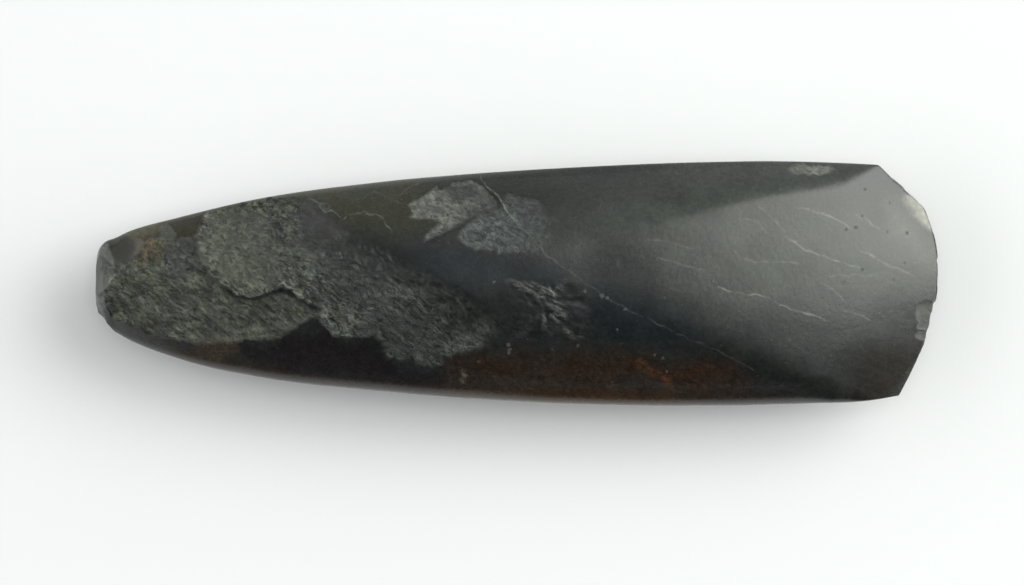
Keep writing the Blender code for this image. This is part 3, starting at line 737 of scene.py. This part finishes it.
def split_relief(points, scars):
    """The facets, crests and grain of the broken stone, in millimetres."""
    bent = points.copy()
    bent[..., 0] += 1.1 * lumps(points, 4, 17)
    bent[..., 1] += 0.9 * lumps(points, 4, 18)
    grained = turned(bent, SPLIT_ANGLE)
    big, big_number = flakes(grained, (5.0, 2.0), 71)
    small, small_number = flakes(grained, (2.2, 0.9), 72)
    chips, chip_number = flakes(bent, (1.2, 1.0), 73)
    crests = 1 - 2.2 * np.abs(lumps(grained, (2.6, 0.8, 1.2), 22))
    grain = lumps(points, 0.75, 23)
    broad = lumps(points, (6.0, 4.0, 4.0), 24)
    ripples = lumps(turned(bent, -25), (6.0, 0.6, 0.8), 25)
    hatch = lumps(turned(points, -80), (3.0, 0.6, 1.0), 26)
    rough = 0.20 * big + 0.13 * small + 0.06 * chips + 0.10 * crests + 0.05 * grain
    calm = 0.8 * (1 - 0.65 * scars.plateau) * (0.35 + 0.65 * scars.shown)
    scars.tone = 0.55 * small_number + 0.3 * big_number + 0.15 * chip_number
    scars.ripple_tone = ripples * scars.ripples * scars.upper
    return sum((
        (rough + 0.28 * broad) * scars.lower,
        (calm * rough + 0.2 * broad) * scars.upper,
        0.5 * scars.ripple_tone,
        (0.05 * hatch + 0.03 * small) * scars.winged,
        (0.08 * chips + 0.04 * grain) * scars.stippled,
        0.07 * chips * scars.chip,
        (0.07 * small + 0.06 * crests) * scars.splinters,
        (0.03 * chips + 0.05 * grain) * scars.scoop,
        0.03 * (grain + 0.5 * broad) * scars.fresh,
        0.03 * lumps(points, (9, 6, 6), 28) + 0.006 * lumps(points, (3, 2.4, 2.4), 29),
    ))


def worn_points():
    """The points before and after the damage, and the fields that the colours are painted from."""
    plain = ground_form()
    points, fresh = shells_lost(plain, LOST_SHELLS, 0.15)
    normal = outward(points)
    scars = scar_fields(points, normal)
    scars.fresh = fresh
    points = points + normal * (split_relief(points, scars) - scar_depths(scars) * scars.top)[..., None]
    points, scars.clipped = corner_clipped(points)
    points, scars.chipped = shells_lost(points, EDGE_CHIPS, 0.1, softness=0.05, roughness=0.12)
    return plain, edge_closed(points), scars


# ---------------------------------------------------------------- painting the stone
POLISHED = (0.0125, 0.0145, 0.0135)
BLUE_BLACK = (0.005, 0.008, 0.013)
TINT = (0.08, 0.05, -0.13)  # how the broken stone wanders between warm and cold


def painted(colours, *coats):
    """Lays one coat over another: each has its colour and how far it covers."""
    for colour, amount in coats:
        colours = colours + (np.array(colour) - colours) * np.clip(amount, 0, 1)[..., None]
    return colours


def polished_colours(points, top):
    """The dark polish, with its olive, blue-black and brown clouds, and a pale cloud that is partly a
    painted highlight.
    """
    x, y, z = np.moveaxis(points, -1, 0)
    patchy = lumps(points, (7, 5, 5), 41)
    olive = ramp(4, 16, y + 3 * patchy) * ramp(98, 60, x) * top
    dark_flank = bell(x - 80, 14) * ramp(12, 17, y + 2 * patchy) * top
    blue, far_blue = (soft_zone(points, zone, 3.0, 43 + i) * top for i, zone in enumerate(BLUE_ZONES))
    low_blade = ramp(-7, -15, y + 2 * patchy) * ramp(104, 124, x) * top
    pale_cloud_and_highlight = bell(x - 105, 13) * bell(y - 12.5, 5) * top
    flank = 0.85 * ramp(6.5, 3.5, z) * ramp(-8, -14, y) * (z > -3)
    pale_blade = ramp(100, 124, x) * ramp(-7, 2, y + 3 * patchy) * top
    colours = painted(
        np.tile(np.array(POLISHED), points.shape[:-1] + (1,)),
        ((0.021, 0.0205, 0.009), olive * (0.8 + 0.25 * patchy)),
        ((0.004, 0.005, 0.004), 0.85 * dark_flank),
        (BLUE_BLACK, 0.9 * blue),
        (BLUE_BLACK, 0.6 * far_blue),
        ((0.0075, 0.0055, 0.0065), 0.85 * soft_zone(points, PURPLE_SHADE, 1.5, 46) * top),
        ((0.0045, 0.004, 0.0035), 0.35 * low_blade),
        ((0.009, 0.0055, 0.0025), 0.9 * low_blade * ramp(140, 152, x)),
        # Paler where the blade begins, towards the left: partly a pale cloud in the stone, partly a painted
        # highlight where the light's reflection spreads.
        ((0.037, 0.041, 0.034), 0.9 * pale_cloud_and_highlight),
        ((0.020, 0.012, 0.006), flank * ramp(6, 16, x) * ramp(138, 122, x)),
        ((0.038, 0.017, 0.004), flank * ramp(60, 76, x) * ramp(118, 104, x)),
        ((0.030, 0.034, 0.027), pale_blade),
    )
    clouds = ramp(96, 112, x) * lumps(points, (6, 4.5, 4.5), 68) + 0.5 * lumps(points, (2.5, 2, 2), 69)
    colours = colours * (1 + 0.3 * (clouds * top)[..., None] * np.array((1.0, 0.95, 0.8)))
    blade_flank = ramp(100, 122, x) * ramp(14, 20, y + 2 * patchy) * top
    brown = soft_zone(points, BROWN_ZONE, 2.0, 47) * top
    smudge = soft_zone(points, PALE_SMUDGE, 0.5, 63) * ramp(-0.5, 0.4, lumps(points, 0.7, 64)) * top
    streak = bell(line_offset(*ragged(points, 1.5, 0.7, 48), ORANGE_STREAK), 0.6) * top
    streak = streak * ramp(-0.6, 0.3, lumps(points, (1.4, 1, 1), 49))
    return painted(
        colours,
        ((0.026, 0.029, 0.026), blade_flank),
        ((0.018, 0.009, 0.0045), brown * (0.75 + 0.4 * patchy)),
        ((0.075, 0.075, 0.055), 0.8 * smudge),
        ((0.060, 0.022, 0.008), 0.9 * streak),
    )


def broken_colours(points, colours, scars):
    """The broken beds, each in its own greens, olives and greys, darker in patches, with painted light and
    shade on the ripples and painted shade in the crevice.
    """
    top, upper, lower, plateau = scars.top, scars.upper, scars.lower, scars.plateau
    colours = painted(
        colours,
        ((0.037, 0.040, 0.030), lower),
        ((0.028, 0.032, 0.026), upper * scars.shown),
        ((0.050, 0.054, 0.040), upper * plateau),
        ((0.042, 0.047, 0.027), 0.7 * soft_zone(points, UPPER_GREEN, 1.2, 50) * upper),
        ((0.021, 0.022, 0.019), 0.9 * soft_zone(points, SMOOTH_GREY, 1.0, 53) * top),
        # A dark blue-grey over the ripples, partly their own colour and partly painted shade in their
        # troughs.
        ((0.011, 0.014, 0.015), 0.6 * scars.ripples * upper),
        ((0.028, 0.030, 0.028), 0.6 * soft_zone(points, BUTT_BED_SHADE, 1.2, 66) * lower),
        ((0.012, 0.0135, 0.012), 0.85 * scars.far * upper),
        ((0.032, 0.037, 0.031), 0.45 * soft_zone(points, PALE_LOBE, 1.2, 54) * upper),
        ((0.023, 0.022, 0.022), 0.6 * soft_zone(points, PURPLE_ZONES[0], 1.0, 51) * top),
        ((0.023, 0.022, 0.022), 0.6 * soft_zone(points, PURPLE_ZONES[1], 1.0, 52) * top),
    )
    # Painted light and shade on the ripples: lighter on their crests, darker in their troughs and darker
    # over them all.
    shade = 1 + 0.6 * scars.ripple_tone - 0.35 * scars.ripples * upper
    # Darker in each of the listed patches.
    for patch_x, patch_y, reach_x, reach_y, darker in DARKER_PATCHES:
        darker_patch = bell(points[..., 0] - patch_x, reach_x) * bell(points[..., 1] - patch_y, reach_y)
        shade = shade * (1 - darker * darker_patch * top)
    tone = 0.9 * scars.tone + 0.25 * scars.patchy - 0.45
    tint = lumps(points, (3.2, 2.2, 2.2), 42)[..., None] * np.array(TINT)
    rough = np.clip(lower + upper * scars.shown, 0, 1) * (1 - 0.6 * plateau)
    colours = colours * (1 + rough[..., None] * (tint + tone[..., None]))
    # Darker still in the crevice under the butt bed's step: painted shade.
    return colours * (shade * (1 - 0.75 * scars.crevice))[..., None]


def butt_colours(points, colours, top):
    """The small facets and stains around the butt."""
    x, y = ragged(points, 1.2, 0.25, 55)
    return painted(
        colours,
        ((0.058, 0.053, 0.028), 0.8 * soft_zone(points, OLIVE_BAND, 1.0, 60) * top),
        ((0.062, 0.047, 0.024), 0.7 * soft_zone(points, ORANGE_OLIVE, 1.8, 55) * top),
        ((0.050, 0.053, 0.040), within(x, y, 0.3, PALE_FACET) * top),
        ((0.050, 0.034, 0.020), 0.5 * soft_zone(points, RUSTY_EDGE, 1.0, 57) * top),
        ((0.016, 0.013, 0.005), within(x, y, 0.2, TOP_REMNANT) * top),
        ((0.020, 0.021, 0.019), within(x, y, 0.3, BUTT_LOW_FACET) * top),
        ((0.016, 0.0155, 0.011), within(x, y, 0.3, BUTT_SHOULDER)),
        ((0.062, 0.066, 0.058), within(x, y, 0.25, BUTT_FACE_PALE, BUTT_FACE_LOW)),
        ((0.10, 0.105, 0.09), 0.8 * bell(line_offset(x, y, BUTT_FACE_RIM), 0.22) * top),
    )


def stone_colours(points, scars):
    """The stone's colour at every point, with some light and shade painted in."""
    top = scars.top
    x = points[..., 0]
    colours = polished_colours(points, top)
    colours = broken_colours(points, colours, scars)
    colours = painted(colours, ((0.040, 0.043, 0.036), scars.fresh * (1 - scars.lower)))
    colours = butt_colours(points, colours, top)
    hatch = 1 + 0.4 * lumps(turned(points, -70), (2.5, 0.5, 1.0), 58)
    shade = (1 - 0.7 * soft_zone(points, WING_SHADE, 0.6, 61)) * (1 - 0.4 * ramp(68, 74, x))
    wing = np.array((0.056, 0.060, 0.050)) * (hatch * shade)[..., None]
    sliver_tone = ramp(-0.9, 0.3, scars.speckle)
    colours = painted(
        colours,
        (wing, scars.winged),
        # A dark line along the winged scar's lower wall: the painted shadow of its step.
        ((0.006, 0.007, 0.010), 0.8 * bell(scars.wall, 0.45) * top),
        ((0.031, 0.037, 0.036), scars.stippled),
    )
    colours = colours * (1 - 0.4 * scars.stippled * ramp(76, 84, x))[..., None]
    colours = painted(
        colours,
        ((0.070, 0.078, 0.074), 0.7 * scars.stippled_rim),
        ((0.085, 0.090, 0.078), scars.chip),
        ((0.007, 0.007, 0.008), 0.6 * scars.splinters),
        # Near black in the gaps between the splinters: painted shade.
        ((0.005, 0.005, 0.006), 0.7 * scars.gaps),
        ((0.026, 0.026, 0.029), 0.45 * scars.soft_slivers),
        ((0.047, 0.050, 0.045), 0.85 * scars.slivers * sliver_tone),
        ((0.10, 0.105, 0.085), 0.6 * scars.bright_rim),
        # The pit near black: painted shade in its hollow.
        ((0.004, 0.005, 0.006), scars.pit),
        ((0.09, 0.09, 0.075), 0.5 * soft_zone(points, EDGE_HALO, 2.0, 62) * top),
        ((0.26, 0.25, 0.21), 0.85 * soft_zone(points, PALE_EDGE_PATCH, 0.8, 59) * top),
        ((0.062, 0.066, 0.055), 0.8 * scars.scoop),
        ((0.012, 0.012, 0.011), 0.9 * np.maximum(scars.scoop_line, scars.notch)),
        ((0.075, 0.08, 0.07), np.maximum(scars.clipped, scars.chipped)),
    )
    return np.clip(colours, 0.002, 1)


def brokenness(scars):
    """1 where the stone is a rough break, and 0 where its polish is whole."""
    rough = np.maximum.reduce([
        scars.lower, scars.upper * scars.shown * (1 - 0.6 * scars.far), 0.75 * scars.winged,
        0.9 * scars.stippled, scars.chip, 0.06 * scars.splinters, 0.8 * scars.slivers,
        0.45 * scars.fresh, 0.8 * scars.clipped, 0.8 * scars.chipped, 0.8 * scars.scoop, 0.9 * scars.pit,
    ])
    return np.clip(rough * (1 - 0.65 * scars.ripples), 0, 1)


def fleckiness(points, scars):
    """How strongly the fine pale crests and dark gaps show in each bed."""
    flecks = np.maximum.reduce([
        0.85 * scars.lower,
        1.6 * scars.upper * (0.25 + 0.75 * scars.shown) * (1 - 0.6 * scars.plateau),
        0.6 * scars.winged, 0.85 * scars.stippled, 0.4 * scars.chip, 0.5 * scars.splinters,
        0.15 * scars.fresh, 0.3 * scars.clipped, 0.3 * scars.chipped, 0.25 * scars.scoop,
        0.35 * soft_zone(points, BROWN_ZONE, 2.0, 47) * scars.top,
    ])
    smooth_zones = (BUTT_FACE_PALE, BUTT_FACE_LOW, BUTT_SHOULDER, SMOOTH_GREY)
    smooth = within(points[..., 0], points[..., 1], 0.5, *smooth_zones)
    return flecks * (1 - 0.8 * smooth) * (1 - 0.5 * scars.ripples)


def vein_fields(points, top):
    """The offset from the nearest vein, and how strongly that vein shows here."""
    wide = ragged(points, 2.2, 0.35, 61)
    fine = ragged(points, 0.8, 0.16, 65)
    x = wide[0] + fine[0] - points[..., 0]
    y = wide[1] + fine[1] - points[..., 1]
    offset = np.full(x.shape, 9.0)
    strength = np.zeros(x.shape)
    for shows, line in VEINS:
        distance = line_offset(x, y, line)
        closer = np.abs(distance) < np.abs(offset)
        offset = np.where(closer, distance, offset)
        strength = np.where(closer, shows, strength)
    return offset, strength * ramp(1.3, 0.9, np.abs(offset)) * top


# ---------------------------------------------------------------- the piece
FOLD_LIMIT = math.radians(140)
FOLD_PASSES = 6


def stone_grid():
    """A flat grid, ready to be wrapped: its X becomes the rings and its Y goes once around."""
    bpy.ops.object.select_all(action="DESELECT")
    bpy.ops.mesh.primitive_grid_add(x_subdivisions=RINGS, y_subdivisions=COLUMNS, size=2, location=(0, 0, 0))
    stone = bpy.context.object
    stone.name = stone.data.name = "worn_axe_head"
    flat = np.empty(len(stone.data.vertices) * 3)
    stone.data.vertices.foreach_get("co", flat)
    flat = flat.reshape(-1, 3)
    ring = np.rint((flat[:, 0] + 1) / 2 * RINGS).astype(int)
    column = np.rint((flat[:, 1] + 1) / 2 * COLUMNS).astype(int)
    return stone, ring, column


def give_values(stone, name, values):
    kind = "FLOAT_COLOR" if values.ndim == 2 else "FLOAT"
    layer = stone.data.attributes.new(name, kind, "POINT")
    if values.ndim == 2:
        values = np.concatenate([values, np.ones((len(values), 1))], axis=1)
        layer.data.foreach_set("color", values.astype(np.float32).ravel())
    else:
        layer.data.foreach_set("value", values.astype(np.float32))


def ease_folds(stone):
    """Smooths the few points where the finest relief folds the surface over itself."""
    mesh = bmesh.new()
    mesh.from_mesh(stone.data)
    for _ in range(FOLD_PASSES):
        folds = [edge for edge in mesh.edges if edge.calc_face_angle(0) > FOLD_LIMIT]
        folded = {point for edge in folds for point in edge.verts}
        near = {point for old in folded for edge in old.link_edges for point in edge.verts}
        if near:
            near = sorted(near, key=lambda point: point.index)
            bmesh.ops.smooth_vert(
                mesh, verts=near, factor=0.5, use_axis_x=True, use_axis_y=True, use_axis_z=True
            )
    mesh.to_mesh(stone.data)
    mesh.free()


def make_stone():
    """The finished stone, and how far its middle and its underside were moved to the origin."""
    stone, ring, column = stone_grid()
    plain, points, scars = worn_points()
    low = plain.reshape(-1, 3).min(axis=0)
    high = plain.reshape(-1, 3).max(axis=0)
    flat_level = low[2] + BELLY_FLAT_DEPTH
    offset, strength = vein_fields(points, scars.top)
    values = {
        "stone_colour": stone_colours(points, scars),
        "broken": brokenness(scars),
        "flecks": fleckiness(points, scars),
        "vein_offset": offset,
        "vein_strength": strength,
    }
    for name, value in values.items():
        give_values(stone, name, value[ring, column])
    points[..., 2] = np.maximum(points[..., 2], flat_level)
    shift = np.array([-(low[0] + high[0]) / 2, -(low[1] + high[1]) / 2, -flat_level])
    stone.data.vertices.foreach_set("co", ((points[ring, column] + shift) * MM).ravel())
    stone.data.update()
    bpy.ops.object.mode_set(mode="EDIT")
    bpy.ops.mesh.select_all(action="SELECT")
    bpy.ops.mesh.remove_doubles(threshold=1e-6)
    bpy.ops.mesh.normals_make_consistent(inside=False)
    bpy.ops.object.mode_set(mode="OBJECT")
    ease_folds(stone)
    bpy.ops.object.shade_smooth()
    return stone, shift


# ---------------------------------------------------------------- small tools for materials
class Nodes:
    """Lays out the nodes of one material. Their inputs take numbers, or other nodes' outputs."""

    def __init__(self, tree):
        self.tree = tree

    def feed(self, target, value):
        if isinstance(value, (int, float, tuple)):
            target.default_value = value
        else:
            self.tree.links.new(value, target)

    def add(self, kind, inputs=(), output=0, **settings):
        made = self.tree.nodes.new("ShaderNode" + kind)
        for name, value in settings.items():
            setattr(made, name, value)
        for socket, value in dict(inputs).items():
            self.feed(made.inputs[socket], value)
        return made.outputs[output]

    def result(self, operation, *values, clamp=False):
        return self.add("Math", enumerate(values), operation=operation, use_clamp=clamp)

    def times(self, a, b):
        return self.result("MULTIPLY", a, b)

    def plus(self, a, b, scale=1.0):
        """The first value, times a scale, plus the second."""
        return self.result("MULTIPLY_ADD", a, scale, b)

    def largest(self, a, b):
        return self.result("MAXIMUM", a, b)

    def opposite(self, value):
        return self.result("SUBTRACT", 1.0, value)

    def spread(self, value, low, high):
        """The value drawn out so that it goes from 0 at the low end to 1 at the high end."""
        return self.add("MapRange", {"Value": value, "From Min": low, "From Max": high}, clamp=True)

    def vector(self, operation, *values, output=0):
        return self.add("VectorMath", enumerate(values), output, operation=operation)

    def scaled(self, colour, factor):
        return self.add("VectorMath", {0: colour, "Scale": factor}, operation="SCALE")

    def mixed(self, factor, a, b):
        return self.add("Mix", {0: factor, 6: a, 7: b}, 2, data_type="RGBA")

    def noise(self, place, scale, detail=2, roughness=0.5, distortion=0.0, output="Fac"):
        texture = {"Scale": scale, "Detail": detail, "Roughness": roughness, "Distortion": distortion}
        return self.add("TexNoise", {"Vector": place, **texture}, output)

    def bent(self, place, scale, reach):
        """The place shifted about by soft noise, so that what is read there wanders."""
        noise = self.noise(place, scale, output="Color")
        return self.vector("MULTIPLY_ADD", noise, (reach, reach, reach), place)

    def flakes(self, place, scale):
        """One random value from 0 to 1 to each little split flake."""
        cells = self.add("TexVoronoi", {"Scale": scale, "Vector": place}, "Color", feature="F1")
        return self.add("SeparateColor", {0: cells})

    def spots(self, place, spots, shift):
        """1 inside any of the small round spots, seen from above."""
        flat = self.vector("MULTIPLY", self.bent(place, 1600, 0.0008), (1, 1, 0))
        nearest = 1.0
        for x, y, reach in spots:
            middle = ((x + shift[0] + 0.4) * MM, (y + shift[1] + 0.4) * MM, 0)
            away = self.vector("DISTANCE", flat, middle, output="Value")
            nearest = self.result("MINIMUM", self.result("DIVIDE", away, reach * MM), nearest)
        return self.opposite(self.spread(nearest, 0.6, 0.99))


# ---------------------------------------------------------------- the stone's material
VEIN_COLOUR = (0.095, 0.100, 0.088)
SPECK_COLOUR = (0.09, 0.09, 0.07, 1)
SPOT_COLOUR = (0.12, 0.12, 0.10, 1)
PIT_COLOUR = (0.006, 0.006, 0.006, 1)
POLISH_ROUGHNESS = 0.27
STONE_IOR = 1.55
# How high the fine relief stands, in metres.
CREST_HEIGHT = 0.00014
FOLD_HEIGHT = 0.00026
FLAKE_HEIGHT = 0.0001
GRAIN_HEIGHT = 0.00004
POLISH_HEIGHT = 0.00003


def stone_patterns(nodes):
    """The noises that the stone's colour, roughness and relief share, and the values painted on it."""
    place = nodes.add("TexCoord", output="Object")
    split = {"Rotation": (0, 0, math.radians(SPLIT_ANGLE)), "Scale": (2.3, 1, 1)}
    along = nodes.add("Mapping", {"Vector": nodes.bent(place, 330, 0.0022), **split}, vector_type="TEXTURE")
    folds = nodes.noise(along, 950, 4, 0.62, 0.35)
    beside = nodes.result("ABSOLUTE", nodes.result("SUBTRACT", folds, 0.5))
    own = SimpleNamespace(
        place=place,
        folds=folds,
        crest=nodes.result("MULTIPLY_ADD", beside, -10.0, 1.0, clamp=True),
        flake=nodes.flakes(along, 2000),
        grain=nodes.flakes(nodes.bent(place, 900, 0.0006), 3600),
        cloud=nodes.noise(place, 260, 3, 0.55),
        mottle=nodes.noise(place, 1100, 4, 0.6),
        colour=nodes.add("Attribute", output="Color", attribute_name="stone_colour"),
    )
    for name in ("broken", "flecks", "vein_offset", "vein_strength"):
        setattr(own, name, nodes.add("Attribute", output="Fac", attribute_name=name))
    return own


def tone_and_shading(nodes, own):
    """How light the stone is against its painted colour: bright crests and flakes where it is broken, partly
    painted highlight and shade.
    """
    patches = nodes.spread(nodes.noise(own.place, 420, 3), 0.36, 0.64)
    # Lighter along the crests and over the raised folds, darker in the hollows: partly pale flecks of the
    # stone, partly painted highlight and shade.
    lines = nodes.times(own.crest, nodes.plus(patches, 0.3, 1.4))
    rough = nodes.plus(nodes.times(own.flake, own.flake), nodes.plus(own.grain, -0.25, 0.7), 1.7)
    rough = nodes.plus(nodes.spread(own.folds, 0.35, 0.65), rough, 0.6)
    rough = nodes.largest(nodes.plus(rough, lines), 0.12)
    rough = nodes.plus(nodes.plus(rough, -1.0), 1.0, own.flecks)
    calm = nodes.plus(own.mottle, nodes.plus(own.cloud, 0.09, 0.45), 1.2)
    return nodes.times(nodes.largest(rough, 0.08), calm)


def with_veins(nodes, own, colour):
    """Thin pale veins, broken up along their length."""
    away = nodes.spread(nodes.result("ABSOLUTE", own.vein_offset), 0.04, 0.25)
    line = nodes.times(nodes.opposite(away), own.vein_strength)
    gaps = nodes.spread(nodes.noise(own.place, 700, 3), 0.30, 0.70)
    line = nodes.result("MULTIPLY", line, gaps, clamp=True)
    return nodes.mixed(line, colour, nodes.scaled(VEIN_COLOUR, nodes.largest(own.vein_strength, 1.0)))


def with_specks(nodes, own, colour, pits, shift):
    """Fine pale specks on the polish, and the larger pale spots and dark pits."""
    specks = nodes.spread(nodes.noise(own.place, 1500), 0.70, 0.76)
    specks = nodes.times(specks, nodes.opposite(own.broken))
    colour = nodes.mixed(nodes.times(specks, 0.35), colour, SPECK_COLOUR)
    spots = nodes.spots(own.place, PALE_SPOTS, shift)
    colour = nodes.mixed(nodes.times(spots, 0.4), colour, SPOT_COLOUR)
    return nodes.mixed(pits, colour, PIT_COLOUR)


def stone_relief(nodes, own):
    """The relief too fine for the mesh: ridges and flakes in the breaks, and a fine grain over all."""
    ridges = nodes.plus(own.crest, nodes.times(own.grain, GRAIN_HEIGHT), CREST_HEIGHT)
    ridges = nodes.plus(nodes.spread(own.folds, 0.3, 0.7), ridges, FOLD_HEIGHT)
    height = nodes.plus(own.flake, ridges, FLAKE_HEIGHT)
    height = nodes.times(height, nodes.times(own.flecks, own.broken))
    height = nodes.plus(own.mottle, height, POLISH_HEIGHT)
    return nodes.add("Bump", {"Strength": 1.0, "Distance": 1.0, "Height": height}, "Normal")


def greenstone(shift):
    mat = bpy.data.materials.new("greenstone")
    mat.use_nodes = True
    nodes = Nodes(mat.node_tree)
    shader = mat.node_tree.nodes["Principled BSDF"].inputs
    own = stone_patterns(nodes)
    pits = nodes.times(nodes.spots(own.place, DARK_PITS, shift), 0.5)
    colour = with_veins(nodes, own, nodes.scaled(own.colour, tone_and_shading(nodes, own)))
    roughness = nodes.plus(own.broken, POLISH_ROUGHNESS, 0.45)
    roughness = nodes.plus(nodes.plus(own.cloud, -0.04, 0.08), roughness)
    roughness = nodes.plus(nodes.plus(own.mottle, -0.05, 0.10), roughness)
    nodes.feed(shader["Base Color"], with_specks(nodes, own, colour, pits, shift))
    nodes.feed(shader["Roughness"], nodes.plus(pits, roughness, 0.5))
    nodes.feed(shader["Normal"], stone_relief(nodes, own))
    shader["IOR"].default_value = STONE_IOR
    return mat


stone, stone_shift = make_stone()
stone.data.materials.append(greenstone(stone_shift))
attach(stone, "root")
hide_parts("axe_head")


# ---------------------------------------------------------------- floor, light and camera
FLOOR_SIZE = 6.0
FLOOR_GAP = 0.0002
FLOOR_COLOUR = (0.745, 0.748, 0.755, 1)
FLOOR_ROUGHNESS = 0.9
FLOOR_GLOSS = 0.1
ROOM_BRIGHTNESS = 1.04
# The room's own light from -Y (0) to +Y (1).
WALL_TONES = (
    (0.0, (0.04, 0.04, 0.04)), (0.28, (0.06, 0.06, 0.06)), (0.5, (0.41, 0.44, 0.43)),
    (0.65, (0.46, 0.49, 0.48)), (0.80, (0.52, 0.55, 0.54)), (0.93, (0.53, 0.56, 0.55)),
    (1.0, (0.50, 0.53, 0.52)),
)
DAYLIGHT = (0.97, 1.0, 0.93)
LIGHT_DISTANCE = 1.8
CAMERA_PLACE = (-0.00104, -0.00174, 1.014)
SENSOR_WIDTH = 36
SEEN_WIDTH = 0.1962  # how much the lens takes in for each metre of distance


def pale_floor():
    bpy.ops.object.select_all(action="DESELECT")
    bpy.ops.mesh.primitive_plane_add(size=FLOOR_SIZE, location=(0, 0, -FLOOR_GAP))
    floor = bpy.context.object
    floor.name = "pale_floor"
    mat = bpy.data.materials.new("pale_floor")
    mat.use_nodes = True
    shader = mat.node_tree.nodes["Principled BSDF"].inputs
    shader["Base Color"].default_value = FLOOR_COLOUR
    shader["Roughness"].default_value = FLOOR_ROUGHNESS
    shader["Specular IOR Level"].default_value = FLOOR_GLOSS
    floor.data.materials.append(mat)


def studio_walls():
    """Soft light from all around: dark towards -Y, brighter towards +Y, and a pale wall beyond each end."""
    world = bpy.data.worlds.new("studio")
    bpy.context.scene.world = world
    world.use_nodes = True
    nodes = Nodes(world.node_tree)
    direction = nodes.add("TexCoord", output="Generated")
    towards_x = nodes.add("SeparateXYZ", {0: direction}, "X")
    towards_y = nodes.add("SeparateXYZ", {0: direction}, "Y")
    tones = nodes.add("ValToRGB", {0: nodes.plus(towards_y, 0.5, 0.5)}, "Color")
    stops = tones.node.color_ramp.elements
    for position, tone in WALL_TONES[1:-1]:
        stops.new(position).color = (*tone, 1)
    stops[0].color = (*WALL_TONES[0][1], 1)
    stops[-1].color = (*WALL_TONES[-1][1], 1)
    brighter = nodes.result("MINIMUM", nodes.largest(nodes.plus(towards_x, 1.0, 1.8), 0.35), 1.9)
    butt_wall = nodes.times(nodes.spread(towards_x, -0.35, -0.9), 1.75)
    walls = nodes.plus(nodes.spread(towards_x, 0.75, 0.97), butt_wall, 3.8)
    background = world.node_tree.nodes["Background"].inputs
    nodes.feed(background["Color"], nodes.vector("ADD", nodes.scaled(tones, brighter), walls))
    background["Strength"].default_value = ROOM_BRIGHTNESS


def softbox(name, direction, size, power, colour=(1, 1, 1)):
    light = bpy.data.lights.new(name, "AREA")
    light.shape = "RECTANGLE"
    light.size, light.size_y = size
    light.energy = power
    light.color = colour
    obj = bpy.data.objects.new(name, light)
    bpy.context.scene.collection.objects.link(obj)
    toward = Vector(direction).normalized()
    obj.location = toward * LIGHT_DISTANCE
    obj.rotation_mode = "QUATERNION"
    obj.rotation_quaternion = toward.to_track_quat("Z", "Y")
    return obj


def camera_above():
    """Straight above the axe head, with no more perspective than a long lens gives."""
    data = bpy.data.cameras.new("camera")
    camera = bpy.data.objects.new("camera", data)
    bpy.context.scene.collection.objects.link(camera)
    camera.location = CAMERA_PLACE
    data.sensor_width = SENSOR_WIDTH
    data.lens = SENSOR_WIDTH / SEEN_WIDTH
    data.clip_start = 0.05
    data.clip_end = 20
    bpy.context.scene.camera = camera
    bpy.context.scene.view_settings.view_transform = "Standard"


pale_floor()
studio_walls()
softbox("key_light", (0.88, 0.50, 1.0), (1.4, 1.36), 15.8, DAYLIGHT)
softbox("side_light", (1.1, 0.50, 1.0), (0.9, 1.0), 5.3, DAYLIGHT)
softbox("fill_light", (0.0, 0.05, 1.0), (0.7, 0.7), 6.8).visible_glossy = False
camera_above()
